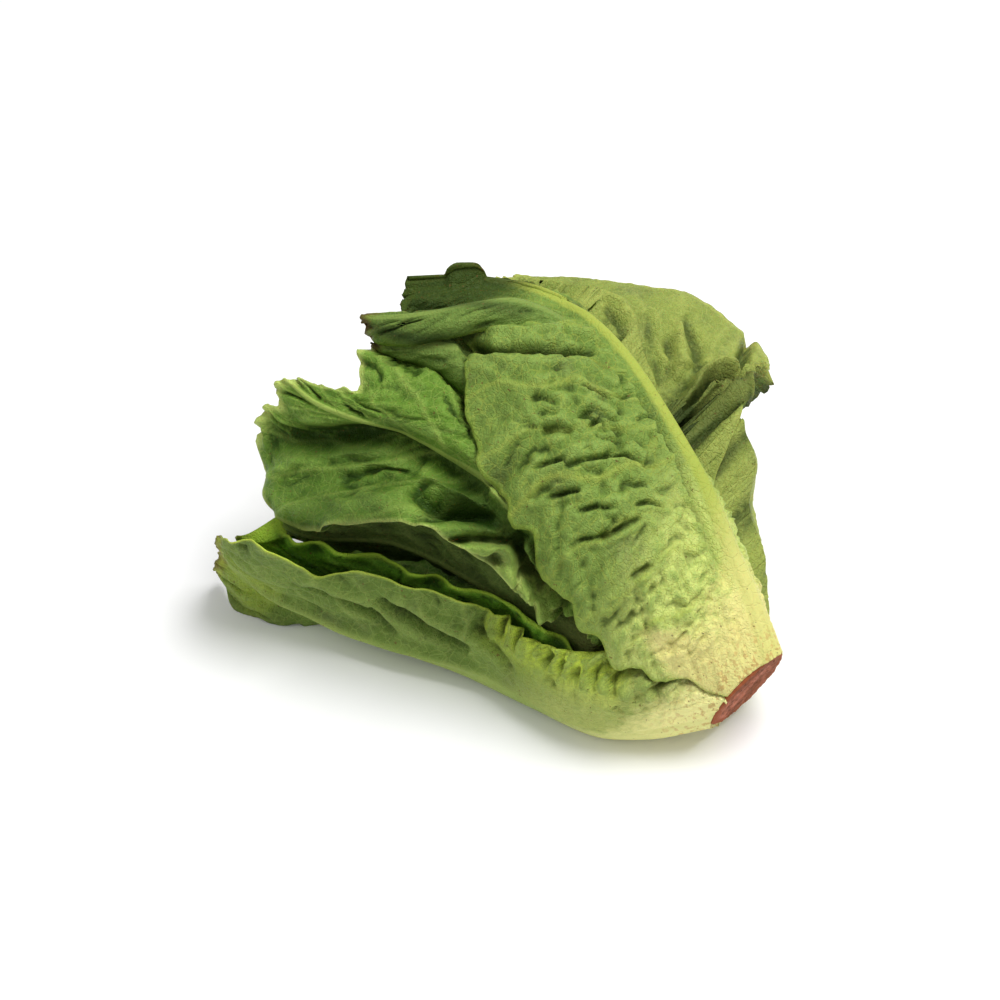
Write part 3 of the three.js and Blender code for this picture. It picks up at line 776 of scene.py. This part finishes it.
# Short narrow creases, at most one to a square, at random in place, length, slant and depth.
def randomCreases(x, y, seed):
    random = np.random.default_rng(seed).random((64, 64, 5))
    i, j = np.floor(x).astype(int), np.floor(y).astype(int)
    deepest = np.zeros(x.shape)
    for a in (-1, 0, 1):
        for b in (-1, 0, 1):
            one = random[(i + a) % 64, (j + b) % 64]
            dy = j + b + one[..., 1] - y
            dx = i + a + one[..., 0] - x + 0.5 * (one[..., 3] - 0.5) * dy
            beyond = np.maximum(abs(dy) - 0.1 - 0.4 * one[..., 2], 0)
            depth = smoothStep(0.1, 0.9, one[..., 4])
            deepest = np.maximum(deepest, depth * np.exp(-((dx / 0.13) ** 2) - (beyond / 0.15) ** 2))
    return deepest


# One line along its path: a height times a bell curve of the distance to the nearest stretch over the
# width, running out at both ends.
def foldAlong(along, turn, out, path, width, height):
    perDegree = np.radians(out)  # millimetres
    nearest = np.full(along.shape, 1e9)
    position = np.zeros(along.shape)
    for k in range(len(path) - 1):
        (a, b), (c, d) = path[k], path[k + 1]
        da, db = c - a, (d - b) * perDegree
        pa, pb = along - a, (turn - b) * perDegree
        t = np.clip((pa * da + pb * db) / (da ** 2 + db ** 2), 0, 1)
        distance = np.hypot(pa - t * da, pb - t * db)
        closer = distance < nearest
        nearest = np.where(closer, distance, nearest)
        position = np.where(closer, (k + t) / (len(path) - 1), position)
    taper = np.sqrt(np.clip(5 * position * (1 - position), 0, 1))
    return height * taper * np.exp(-((nearest / width) ** 2))


# Each value with the mean of its four neighbours, again and again.
def blurred(values, times):
    for _ in range(times):
        padded = np.pad(values, 1, mode="edge")
        values = (padded[:-2, 1:-1] + padded[2:, 1:-1] + padded[1:-1, :-2] + padded[1:-1, 2:]) / 4
    return values


# Normals evened out, so that neighbours stay apart.
def softened(normals):
    normals = np.stack([blurred(part, 8) for part in np.moveaxis(normals, -1, 0)], -1)
    return normals / np.linalg.norm(normals, axis=-1, keepdims=True)


# Places on a leaf's blade, as arrays: x across from the midrib and y along from the base in
# millimetres, off the distance from the midrib, t the part of the length. The place in the grid is u, 0
# at the base and 1 at the tip, and v, -1 at the right margin and 1 at the left one.
class Blade:
    def __init__(self, leaf, base, u, v):
        self.leaf, self.u, self.v = leaf, u, v
        self.around = unplace(base)
        self.x, self.y = leafDistances(base, leaf["cells"][1] // 2)
        self.off = abs(self.x)
        self.t = self.y / self.y.max()
        self.side = np.where(self.x < 0, 40.0, 0.0)  # keeps the patterns of the two halves apart

    # A seed for each of the leaf's patterns.
    def seed(self, n):
        return self.leaf["seed"] + n

    # Smooth noise of the leaf's own.
    def noise(self, x, y, n):
        return gradientNoise(x, y, self.seed(n))

    # All of the leaf's lines of one kind, added up.
    def lines(self, name):
        return sum(foldAlong(*self.around, **one) for one in self.leaf[name]) + 0 * self.x


# The midrib from 0 to 1, a steep-sided bell whose width falls towards the tip. With it comes how clear
# of it the blade is.
def midrib(blade):
    atBase, fall, rest = blade.leaf["ribWidth"]
    width = atBase * (1 - blade.t) ** fall + rest
    clear = smoothStep(0.8, 2.3, blade.off / width) * smoothStep(0.02, 0.14, blade.t)
    return np.exp(-((blade.off / width) ** 2.4)), clear


# How far along the midrib the side vein through a place starts. At the base a vein runs straight across,
# and further on it slants by the square of the part of the length that it starts at. Noise shifts it.
def veinStart(blade):
    y = blade.y
    bend = 1 + np.sqrt(1 + 4 * blade.leaf["veinTurn"] * blade.off * y / y.max() ** 2)
    return 2 * y / bend + 4 * blade.noise(blade.x / 26, y / 26, 11)


# Side veins from 0 to 1: bells at even distances, some stronger than others, narrower further out.
def sideVeins(blade, start, clear):
    gap = blade.leaf["veinGap"]
    cell = start / gap + blade.side
    near = abs(cell - np.floor(cell) - 0.5) * gap
    strength = (0.6 + 0.4 * blade.noise(np.floor(cell) * 0.7, blade.x * 0, 12)) * clear
    return np.exp(-((near / (1.3 - 0.6 * np.clip(blade.off / 70, 0, 1))) ** 2)) * strength


# What blisters and creases are laid out on, so that they run with the veins: where the vein starts and
# the distance from the midrib, both shifted by coarse and fine noise.
def veinGrid(blade, start):
    x, y, noise = blade.x, blade.y, blade.noise
    sizeAlong, sizeOff = blade.leaf["blister"]
    along = start + sizeAlong * (0.4 * noise(x / 15, y / 15, 13) + 0.18 * noise(x / 5, y / 5, 28))
    off = blade.off + sizeOff * (0.4 * noise(x / 17, y / 17, 14) + 0.15 * noise(x / 6, y / 6, 29))
    return along, off


# Blisters that slow noise makes high in some parts and flat in others, with noise of their own size and
# puffs of about half that size on them.
def blisterRelief(blade, along, off):
    sizeAlong, sizeOff = blade.leaf["blister"]
    side = blade.side
    big = 0.8 * blisters(along / sizeAlong, off / sizeOff + side, blade.seed(15)) - 0.6
    big = big * (0.1 + 1.2 * smoothStep(-0.35, 0.45, blade.noise(blade.x / 22, blade.y / 22, 23)))
    big = big + 0.5 * blade.noise(along / (sizeAlong * 1.1), off / (sizeOff * 1.1) + side, 27)
    small = puffs(along / (sizeAlong * 0.45), off / (sizeOff * 0.45) + side, blade.seed(16))
    return blurred(big + 0.5 * small, 1)


# Crumpled patches: puffs drawn out along the leaf and others drawn out across it.
def crumpleRelief(blade):
    x, y = blade.x, blade.y
    crumples = 1.6 * puffs(x / 7, y / 12, blade.seed(32)) + 1.2 * puffs(x / 14, y / 4, blade.seed(33))
    return crumples * np.clip(blade.lines("crumpled"), 0, 1)


# Long folds beside the midrib: puffs drawn out along the leaf, on a distance across that noise bends.
def pleatRelief(blade, gap):
    bent = blade.x + 5 * blade.noise(blade.x / 30, blade.y / 40, 20)
    return puffs(bent / gap, blade.y / (gap * 6), blade.seed(21)) * smoothStep(0.05, 0.2, blade.t)


# A sine along the margin whose phase noise shifts, growing from half way out to the margin.
def ruffleRelief(blade):
    y, v = blade.y, blade.v
    right, left, wavelength = blade.leaf["ruffle"]
    wave = np.sin(2 * np.pi * (y / wavelength + 0.6 * blade.noise(y / 45, blade.side, 17) + blade.side))
    toEdge = smoothStep(0.45, 1, abs(v)) * smoothStep(0.05, 0.3, blade.t)
    return np.where(v < 0, right, left) * toEdge * (wave + 0.5 * blade.noise(y / 9, v * 2, 18))


# A finer ruffle near the base, of noise and puffs along the margin.
def frillRelief(blade):
    x, y, off = blade.x, blade.y, blade.off
    frill = 1.4 * blade.noise(y / 8 + 0.4 * blade.noise(x / 8, y / 8, 25), off / 15, 24)
    frill = frill + 0.35 * puffs(y / 3.5, off / 12, blade.seed(31))
    nearBase = smoothStep(0.04, 0.12, blade.t) * smoothStep(0.5, 0.3, blade.t)
    return np.where(blade.v < 0, *blade.leaf["frill"]) * frill * smoothStep(0.5, 1, abs(blade.v)) * nearBase


# How far the outer side stands out of the smooth one: the sum of all of these, of fine ribs near the
# base, long waves and single folds, less the short creases. Blisters and creases fade towards the
# margins and on the calm paths.
def relief(blade):
    leaf, x, y, t = blade.leaf, blade.x, blade.y, blade.t
    outwards = abs(blade.v)
    rib, clear = midrib(blade)
    start = veinStart(blade)
    vein = sideVeins(blade, start, clear)
    along, off = veinGrid(blade, start)
    calm = np.clip(1 - blade.lines("calm"), 0.1, 1)
    lumps = blisterRelief(blade, along, off) * clear * (0.35 + 0.65 * smoothStep(1.0, 0.72, outwards)) * calm
    depth, slitAlong, slitOff = leaf["slits"]
    slits = depth * randomCreases(along / slitAlong, off / slitOff + blade.side, blade.seed(30))
    slits = slits * clear * smoothStep(1.0, 0.85, outwards) * calm
    pleatHeight, pleatGap = leaf["pleat"]
    fibres = leaf["fibre"] * puffs(x / 3.4, y / 46, blade.seed(22)) * smoothStep(0.3, 0.05, t)
    waves = leaf["waves"] * blade.noise(x / 38, y / 52, 19) * smoothStep(0, 0.25, t)
    pleats = pleatHeight * pleatRelief(blade, pleatGap) * clear
    height = (
        leaf["veinHeight"] * vein + leaf["crinkle"] * lumps + pleats + fibres + ruffleRelief(blade)
        + frillRelief(blade) + waves + crumpleRelief(blade) - slits + blade.lines("folds")
    )
    ribHeight = leaf["ribHeight"][0] * (1 - t) + leaf["ribHeight"][1] * t
    return height + ribHeight * rib, leafMarks(blade, height, rib, vein)


# What the finish reads, from 0 to 1 or a little over: the ribs, what is pale, sunk (painted shade), raised
# (painted highlight), withered, lighter green or in painted shade. Sunk and raised are against the mean
# height round a place.
def leafMarks(blade, height, rib, vein):
    leaf, t = blade.leaf, blade.t
    relative = height - blurred(height, 30)
    shade = blade.lines("paintedShade")
    if leaf["shade"]:
        shade = shade + leaf["shadeDepth"] * (1 - smoothStep(*leaf["shade"], t))
    torn = 0.015 * blade.noise(blade.x / 4, blade.y / 4, 26)
    return dict(
        rib=rib,
        young=np.clip(smoothStep(*leaf["young"], t + 0.002 * blade.off) + blade.lines("washed"), 0, 1),
        vein=np.clip(vein + blade.lines("pale"), 0, 1),
        hollowShade=smoothStep(*leaf["hollowShade"], -relative),
        crestHighlight=smoothStep(0.0, 1.3, relative),
        withered=leaf["withered"] * smoothStep(0.965, 1, blade.u + torn),
        bright=np.clip(blade.lines("bright"), 0, 1),
        shade=shade,
        margin=smoothStep(*leaf["margin"], np.maximum(abs(blade.v), blade.u)),
        cutEnd=smoothStep(0.1, 0, blade.u),
    )


# A leaf as a sheet: the smooth side pressed under what is laid already, its relief added along the
# evened normals and pressed again, and the inner side a thickness below, thin at the margins and
# thick at the midrib and the base.
def buildLeaf(look):
    leaf = {**common, **look}
    rows, columns = leaf["cells"]
    u = np.linspace(0, 1, rows + 1)[:, None]
    t = np.linspace(-1, 1, columns + 1)[None, :]
    v = t * (1 - leaf["crowded"] * (1 - abs(t)))
    u, v = u + 0 * v, v + 0 * u
    room = smoothedRoom()
    free = (1 - leaf["pressed"]) * smoothStep(0.6, 0.72, u)[..., None]
    laid = lambda points: press(points, room) * (1 - free) + points * free
    base = laid(smoothSide(leaf, u, v))
    blade = Blade(leaf, base, u, v)
    height, marks = relief(blade)
    outer = laid(base + softened(gridNormals(base)) * height[..., None])

    thick = leaf["blade"] * (0.45 + 0.55 * smoothStep(1, 0.86, abs(v))) + 1.4 * marks["rib"] * (1 - u)
    thick = thick + 1.5 * smoothStep(0.1, 0, u)
    along, turn, out = unplace(outer - gridNormals(outer) * thick[..., None])
    inner = place(along, turn, np.minimum(out, outToFloor(along, turn)))
    middle = (inner[:-1, :-1] + inner[1:, 1:] + inner[1:, :-1] + inner[:-1, 1:]) / 4
    for points in (inner, middle):
        noteRoom(points.reshape(-1, 3))

    both = {name: np.concatenate([values.ravel()] * 2) for name, values in marks.items()}
    both["inside"] = np.repeat([0.0, 1.0], u.size)
    uv = np.stack([blade.x, blade.y], -1) * 0.01
    piece = closedSheet(leaf["node"].replace("leaf_", "leaf-"), outer, inner, uv, both)
    piece.data.materials.append(finishes[leaf["finish"]])
    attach(piece, "root")
    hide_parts(leaf["node"])
    return piece


# A socket that a value comes from. Sums on it add Math nodes.
class Value:
    def __init__(self, nodes, socket):
        self.nodes, self.socket = nodes, socket

    def __add__(self, other): return self.nodes.math("ADD", self, other)
    def __radd__(self, other): return self.nodes.math("ADD", other, self)
    def __sub__(self, other): return self.nodes.math("SUBTRACT", self, other)
    def __rsub__(self, other): return self.nodes.math("SUBTRACT", other, self)
    def __mul__(self, other): return self.nodes.math("MULTIPLY", self, other)
    def __rmul__(self, other): return self.nodes.math("MULTIPLY", other, self)

    # 0 below low, 1 above high, smooth between.
    def ramp(self, low, high):
        return self.nodes.node(
            "ShaderNodeMapRange", dict(interpolation_type="SMOOTHSTEP"),
            {"Value": self, "From Min": low, "From Max": high},
        )


# The nodes of a material or of the world.
class Nodes:
    def __init__(self, owner):
        owner.use_nodes = True
        self.tree = owner.node_tree

    # Adds any node: its settings first, then the values or links of its sockets.
    def node(self, kind, settings=None, inputs=None, output=0):
        node = self.tree.nodes.new(kind)
        for name, setting in (settings or {}).items():
            setattr(node, name, setting)
        for name, value in (inputs or {}).items():
            self.feed(node.inputs[name], value)
        return Value(self, node.outputs[output])

    # Links a value to a socket, or sets a plain one.
    def feed(self, socket, value):
        if isinstance(value, Value):
            self.tree.links.new(value.socket, socket)
        else:
            socket.default_value = value

    # Any sum on plain numbers and values.
    def math(self, operation, *values):
        return self.node("ShaderNodeMath", dict(operation=operation), dict(enumerate(values)))


# A material, with the patterns that the finishes are made of.
class Finish(Nodes):
    def __init__(self, name):
        self.material = bpy.data.materials.new(name)
        super().__init__(self.material)
        self.shader = self.tree.nodes["Principled BSDF"]

    # One of the marks on a piece's points.
    def mark(self, name):
        return self.node("ShaderNodeAttribute", dict(attribute_name=name), output="Fac")

    # Places on the leaf as if it lay flat.
    def leafMap(self):
        return self.node("ShaderNodeUVMap", dict(uv_map="leafMap"))

    # Places on the piece.
    def place(self):
        return self.node("ShaderNodeTexCoord", output="Object")

    # Soft noise from 0 to 1.
    def noise(self, vector, scale, detail=2.0, roughness=0.5):
        inputs = {"Vector": vector, "Scale": scale, "Detail": detail, "Roughness": roughness}
        return self.node("ShaderNodeTexNoise", None, inputs)

    # Distance to the edges of a net of cells.
    def cracks(self, vector, scale):
        return self.node(
            "ShaderNodeTexVoronoi", dict(feature="DISTANCE_TO_EDGE"),
            {"Vector": vector, "Scale": scale, "Randomness": 1.0}, output="Distance",
        )

    # A share of the second colour over the first.
    def mix(self, first, second, factor):
        return self.node(
            "ShaderNodeMix", dict(data_type="RGBA"), {0: factor, 6: first, 7: second}, output=2,
        )

    # A normal that follows a height.
    def bump(self, height, distance):
        return self.node("ShaderNodeBump", None, {"Height": height, "Strength": 0.7, "Distance": distance})

    # Feeds the material's own sockets.
    def set(self, **sockets):
        for name, value in sockets.items():
            self.feed(self.shader.inputs[name.replace("_", " ")], value)


def colour(red, green, blue):
    return (red, green, blue, 1.0)


# For each kind of leaf: its blade, lighter, darker and duller shades of it, its ribs and veins, its pale base
# and the young blade next to that, a lighter, yellower green, and its inner side. The lighter and darker
# shades give its mottling, and also the painted highlights on crests and the painted shade in hollows and
# along shaded paths.
leafColours = dict(
    top=dict(
        blade=(0.150, 0.245, 0.040), light=(0.25, 0.37, 0.078), deep=(0.028, 0.052, 0.006),
        dull=(0.15, 0.19, 0.060), rib=(0.36, 0.43, 0.070), base=(0.78, 0.72, 0.26),
        young=(0.60, 0.69, 0.19), bright=(0.30, 0.43, 0.05), inside=(0.19, 0.33, 0.05),
    ),
    front=dict(
        blade=(0.130, 0.215, 0.033), light=(0.24, 0.34, 0.075), deep=(0.018, 0.034, 0.005),
        dull=(0.15, 0.20, 0.060), rib=(0.32, 0.42, 0.10), base=(0.98, 0.93, 0.38),
        young=(0.44, 0.50, 0.13), bright=(0.80, 0.98, 0.11), inside=(0.09, 0.25, 0.010),
    ),
    fresh=dict(
        blade=(0.08, 0.22, 0.010), light=(0.14, 0.32, 0.02), deep=(0.012, 0.035, 0.003),
        dull=(0.07, 0.15, 0.015), rib=(0.20, 0.36, 0.04), base=(0.50, 0.55, 0.15),
        young=(0.10, 0.20, 0.02), bright=(0.42, 0.60, 0.05), inside=(0.08, 0.22, 0.010),
    ),
    right=dict(
        blade=(0.245, 0.315, 0.060), light=(0.36, 0.42, 0.09), deep=(0.050, 0.075, 0.016),
        dull=(0.20, 0.24, 0.08), rib=(0.42, 0.48, 0.12), base=(0.66, 0.66, 0.24),
        young=(0.34, 0.40, 0.09), bright=(0.48, 0.54, 0.12), inside=(0.22, 0.36, 0.05),
    ),
    left=dict(
        blade=(0.108, 0.224, 0.020), light=(0.22, 0.37, 0.058), deep=(0.014, 0.040, 0.002),
        dull=(0.16, 0.25, 0.055), rib=(0.33, 0.45, 0.09), base=(0.50, 0.55, 0.16),
        young=(0.17, 0.27, 0.04), bright=(0.66, 0.78, 0.21), inside=(0.12, 0.26, 0.02),
    ),
    roll=dict(
        blade=(0.130, 0.215, 0.038), light=(0.24, 0.36, 0.075), deep=(0.022, 0.042, 0.006),
        dull=(0.09, 0.12, 0.030), rib=(0.20, 0.29, 0.06), base=(0.34, 0.40, 0.12),
        young=(0.12, 0.19, 0.03), bright=(0.30, 0.43, 0.05), inside=(0.09, 0.17, 0.02),
    ),
    mid=dict(
        blade=(0.17, 0.28, 0.035), light=(0.29, 0.41, 0.07), deep=(0.035, 0.070, 0.008),
        dull=(0.16, 0.22, 0.055), rib=(0.44, 0.52, 0.13), base=(0.66, 0.68, 0.26),
        young=(0.34, 0.44, 0.10), bright=(0.30, 0.43, 0.05), inside=(0.19, 0.33, 0.05),
    ),
    heart=dict(
        blade=(0.44, 0.52, 0.12), light=(0.56, 0.62, 0.19), deep=(0.16, 0.22, 0.04),
        dull=(0.40, 0.46, 0.13), rib=(0.66, 0.68, 0.30), base=(0.72, 0.72, 0.34),
        young=(0.58, 0.62, 0.22), bright=(0.45, 0.55, 0.12), inside=(0.46, 0.54, 0.14),
    ),
)


browns = dict(withered=(0.11, 0.065, 0.025), speck=(0.15, 0.085, 0.025), stain=(0.50, 0.24, 0.07))


# Blade colour by slow noise, with painted shade in the hollows and painted highlights on the crests, a net of
# fine veins, side veins and midrib in their own colours, paler towards the base, a lighter green along some
# paths and painted shade along others, with brown at a withered tip, in a few specks and in stains by the
# cut. Each layer is a colour and how much of it is laid over those before.
def leafFinish(name, shades):
    finish = Finish("leaf-" + name)
    mark, noise = finish.mark, finish.noise
    flat = finish.leafMap()
    here = finish.place()
    broad = noise(flat, 5.0, 3.0)
    patch = noise(here, 240.0, 5.0, 0.65)
    grain = noise(here, 1300.0, 3.0, 0.65)
    net = finish.cracks(flat, 22.0).ramp(0.0, 0.08)
    fine = finish.cracks(here, 900.0).ramp(0.0, 0.14)
    rib, hollowShade, young = mark("rib"), mark("hollowShade"), mark("young")
    netting = ((1 - net) * 0.7 + (1 - fine) * 0.2) * (1 - hollowShade)
    uneven = patch * 0.3 - 0.15
    specks = noise(here, 600.0, 1.0).ramp(0.73, 0.765)
    stains = noise(here, 380.0, 3.0, 0.6).ramp(0.52, 0.62) * mark("cutEnd")
    shades = {part: colour(*rgb) for part, rgb in shades.items()}
    ribTint = finish.mix(shades["rib"], shades["base"], (young + uneven).ramp(0.4, 1.05) * 0.75)
    layers = [
        (shades["inside"], mark("inside")),
        (shades["light"], (broad * 0.7 + patch * 0.3).ramp(0.42, 0.7) * 0.6),
        (shades["dull"], broad.ramp(0.5, 0.25) * 0.7),
        (shades["young"], young.ramp(0.05, 0.6)),
        (shades["bright"], mark("bright") * 0.9),
        # painted highlight on the crests
        (shades["light"], mark("crestHighlight") * 0.7),
        # painted shade in the hollows
        (shades["deep"], hollowShade * (1 - young * 0.7) * 0.8),
        (shades["deep"], patch.ramp(0.5, 0.68) * 0.3 * (1 - young * 0.85)),
        (shades["light"], patch.ramp(0.48, 0.34) * 0.4),
        (shades["deep"], grain.ramp(0.5, 0.75) * 0.25 * (1 - young)),
        (shades["rib"], netting * (0.2 + patch * 0.6)),
        (shades["rib"], mark("vein") * 0.55),
        (shades["base"], (young + uneven).ramp(0.72, 0.98)),
        (ribTint, (rib + uneven).ramp(0.3, 0.65)),
        (shades["bright"], mark("margin") * 0.6),
        # painted shade along the shade paths and over the shaded part of the length
        (shades["deep"], mark("shade") * 0.9),
        (colour(*browns["withered"]), mark("withered")),
        (colour(*browns["speck"]), specks * 0.7),
        (colour(*browns["stain"]), stains * 0.6),
    ]
    tint = shades["blade"]
    for over, share in layers:
        tint = finish.mix(tint, over, share)
    folded = finish.math("ABSOLUTE", noise(here, 420.0, 3.0, 0.55) - 0.5).ramp(0.0, 0.09)
    height = netting * -0.4 + grain * 0.4 + patch * 0.5 + folded * 0.5 * (1 - rib)
    finish.set(
        Base_Color=tint, Roughness=0.42 + patch * 0.16, Normal=finish.bump(height, 0.0009),
        Specular_IOR_Level=0.13, Subsurface_Weight=0.06, Subsurface_Scale=0.003,
    )
    return finish.material


finishes = {name: leafFinish(name, shades) for name, shades in leafColours.items()}
print("materials made")


for look in leaves:
    piece = buildLeaf(look)
    print(piece.name, len(piece.data.polygons) * 2, "triangles")


stem = dict(
    radius=20.0,
    bevel=1.0,  # of the cut end's edge
    collar=7.0,  # the length over which it keeps about its radius
    neck=17.5,  # radius there, from which the core tapers
    length=88.0,
    sides=180,
    rings=(46, 6, 5, 24),  # on the face, the bevel, the collar and the core
    lumps=(0.35, 0.22),  # height of the face's large and small ones
    ridge=0.18,  # height of the rings in the face
    dish=0.5,  # how far the face is sunk in the middle
    notches=(0.6, 0.35),  # depth of the rim's large and small ones
    face=(0.24, 0.070, 0.026), pink=(0.50, 0.165, 0.09), grain=(0.08, 0.024, 0.008),
    rim=(0.30, 0.075, 0.022), flesh=(0.72, 0.66, 0.30),
)


# A lathe round the axis: the cut face from its middle out, its rim, and the hidden core behind it.
# Noise and rings make the face uneven, and noise round the axis notches the rim.
def buildStem():
    faceRings, bevelRings, collarRings, coreRings = stem["rings"]
    bevelAngle = np.linspace(0.2, 1, bevelRings) * np.pi / 2
    core = np.linspace(0.02, 0.995, coreRings)
    r = np.concatenate([
        np.linspace(0.2, stem["radius"] - stem["bevel"], faceRings),
        stem["radius"] - stem["bevel"] * (1 - np.sin(bevelAngle)),
        np.linspace(stem["radius"] - 0.1, stem["neck"], collarRings),
        stem["neck"] * (1 - core) ** 1.25,
    ])
    along = np.concatenate([
        np.zeros(faceRings),
        stem["bevel"] * (1 - np.cos(bevelAngle)),
        np.linspace(stem["bevel"] + 0.2, stem["collar"], collarRings),
        stem["collar"] + (stem["length"] - stem["collar"]) * core,
    ])
    turn = np.linspace(0, 360, stem["sides"], endpoint=False)
    r, turn = np.meshgrid(r, turn, indexing="ij")
    along = along[:, None] + 0 * turn
    cosine, sine = np.cos(np.radians(turn)), np.sin(np.radians(turn))
    px, py = r * cosine, r * sine
    flat = along < 0.01
    large, small = stem["lumps"]
    lumps = large * gradientNoise(px / 5, py / 5, 301) + small * gradientNoise(px / 1.8, py / 1.8, 302)
    rings = stem["ridge"] * np.sin(r * 1.9 + 1.5 * gradientNoise(px / 6, py / 6, 303))
    dish = stem["dish"] * smoothStep(17, 8, r)
    along = along + np.where(flat, lumps + rings + dish, 0)
    large, small = stem["notches"]
    notch = large * gradientNoise(cosine * 5, sine * 5, 304)
    notch = notch + small * gradientNoise(cosine * 17, sine * 17, 305)
    r = r + np.where(along < stem["collar"] + 1, notch * smoothStep(12, 19, r), 0)
    points = place(along, turn, r)
    rows, wide = r.shape
    index = np.arange(rows * wide).reshape(rows, wide)
    beside = np.roll(index, -1, axis=1)
    quads = np.stack([index[:-1], beside[:-1], beside[1:], index[1:]], -1).reshape(-1, 4)
    poles = np.stack([place(0.5, 0, 0), place(stem["length"], 0, 0)])
    points = np.concatenate([points.reshape(-1, 3), poles])
    ends = [
        np.stack([np.full(wide, rows * wide + k), a, b, b], -1)
        for k, a, b in ((0, beside[0], index[0]), (1, index[-1], beside[-1]))
    ]
    return points, quads, ends


# The cut face: browned flesh in patches, dark grains, a redder rim, and cream flesh off the face.
def stemFinish():
    finish = Finish("stem-cut")
    here = finish.place()
    broad = finish.noise(here, 90.0, 4.0, 0.6)
    grain = finish.noise(here, 420.0, 4.0, 0.65)
    rim = (finish.mark("ring") + broad * 0.5 - 0.25).ramp(0.78, 0.92)
    face = (finish.mark("face") + grain * 0.3 - 0.15).ramp(0.3, 0.6)
    tint = finish.mix(colour(*stem["face"]), colour(*stem["pink"]), broad.ramp(0.36, 0.62))
    tint = finish.mix(tint, colour(*stem["grain"]), grain.ramp(0.46, 0.68) * 0.7)
    tint = finish.mix(tint, colour(*stem["rim"]), rim * 0.85)
    tint = finish.mix(colour(*stem["flesh"]), tint, face)
    bump = finish.bump(grain + broad, 0.0008)
    finish.set(Base_Color=tint, Roughness=0.7 + grain * 0.2, Normal=bump, Specular_IOR_Level=0.3)
    return finish.material


# The stem's piece: how far out each point is and whether it lies on the face are marks for the finish.
def makeStem():
    points, quads, ends = buildStem()
    mesh = bpy.data.meshes.new("stem-core")
    faces = quads.tolist() + [list(face[:3]) for end in ends for face in end.tolist()]
    mesh.from_pydata((points * mm).tolist(), [], faces)
    mesh.polygons.foreach_set("use_smooth", np.ones(len(mesh.polygons), bool))
    along, _, out = unplace(points)
    setMarks(mesh, dict(ring=out / stem["radius"], face=smoothStep(2.4, 1.2, along)))
    mesh.materials.append(stemFinish())
    mesh.update()
    piece = added("stem-core", mesh)
    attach(piece, "root")
    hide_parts("stem_core")


makeStem()
print("stem made")


studio = dict(
    floor=0.93,  # how pale it is
    side=4.0,  # from its middle to its edge
    fade=(0.4, 1.1),  # how far from its middle it starts to fade and is gone
    sky=0.54,  # strength
    key=dict(at=(0.35, 0.35, 1.45), size=0.9, power=20.5),
    fill=dict(at=(-0.9, -1.2, 0.9), size=1.2, power=2.2),
)


# A flat square that fades out far from the head, so that it has no visible end.
def makeFloor():
    side = studio["side"]
    mesh = bpy.data.meshes.new("floor")
    corners = [(-side, -side, 0), (side, -side, 0), (side, side, 0), (-side, side, 0)]
    mesh.from_pydata(corners, [], [(0, 1, 2, 3)])
    finish = Finish("floor")
    here = finish.place()
    away = finish.node("ShaderNodeVectorMath", dict(operation="LENGTH"), {0: here}, output="Value")
    finish.set(
        Base_Color=colour(*[studio["floor"]] * 3), Roughness=0.8, Specular_IOR_Level=0.1,
        Alpha=1 - away.ramp(*studio["fade"]),
    )
    mesh.materials.append(finish.material)
    floor = added("floor", mesh)


# A round soft lamp that looks at the middle of the floor.
def makeLight(name, at, size, power):
    light = bpy.data.lights.new(name, "AREA")
    light.shape, light.size, light.energy = "DISK", size, power
    lamp = added(name, light)
    lamp.location = at
    aim = bpy.data.objects["floor"].location - lamp.location
    lamp.rotation_euler = aim.to_track_quat("-Z", "Y").to_euler()


# Full white where the camera sees it, and dimmer as a light on the head.
def makeWorld():
    world = bpy.data.worlds.new("studio")
    nodes = Nodes(world)
    white = colour(1, 1, 1)
    sky = nodes.tree.nodes["Background"]
    nodes.feed(sky.inputs["Color"], white)
    nodes.feed(sky.inputs["Strength"], studio["sky"])
    backdrop = nodes.node("ShaderNodeBackground", None, {"Color": white})
    seen = nodes.node("ShaderNodeLightPath", output="Is Camera Ray")
    either = nodes.node("ShaderNodeMixShader", None, {0: seen, 1: Value(nodes, sky.outputs[0]), 2: backdrop})
    nodes.feed(nodes.tree.nodes["World Output"].inputs[0], either)
    bpy.context.scene.world = world


view = dict(
    azimuth=45.0, elevation=45.0, lens=81.4,
    distance=0.9183, right=0.1007, down=0.0771,  # of the cut face from the camera and the view's middle
)


# The camera stands back from the cut face along its line of sight, and the cut face lies off its middle.
def makeCamera():
    a, e = math.radians(view["azimuth"]), math.radians(view["elevation"])
    back = np.array([math.sin(a) * math.cos(e), -math.cos(a) * math.cos(e), math.sin(e)])
    right = np.array([math.cos(a), math.sin(a), 0])
    up = np.cross(back, right)
    camera = added("camera", bpy.data.cameras.new("camera"))
    camera.data.lens = view["lens"]
    camera.location = cutCentre * mm + back * view["distance"] - right * view["right"] + up * view["down"]
    camera.rotation_euler = (math.pi / 2 - e, 0, a)
    bpy.context.scene.camera = camera


makeFloor()
makeLight("key", **studio["key"])
makeLight("fill", **studio["fill"])
makeWorld()
makeCamera()
bpy.context.scene.view_settings.view_transform = "Standard"
print("studio made")
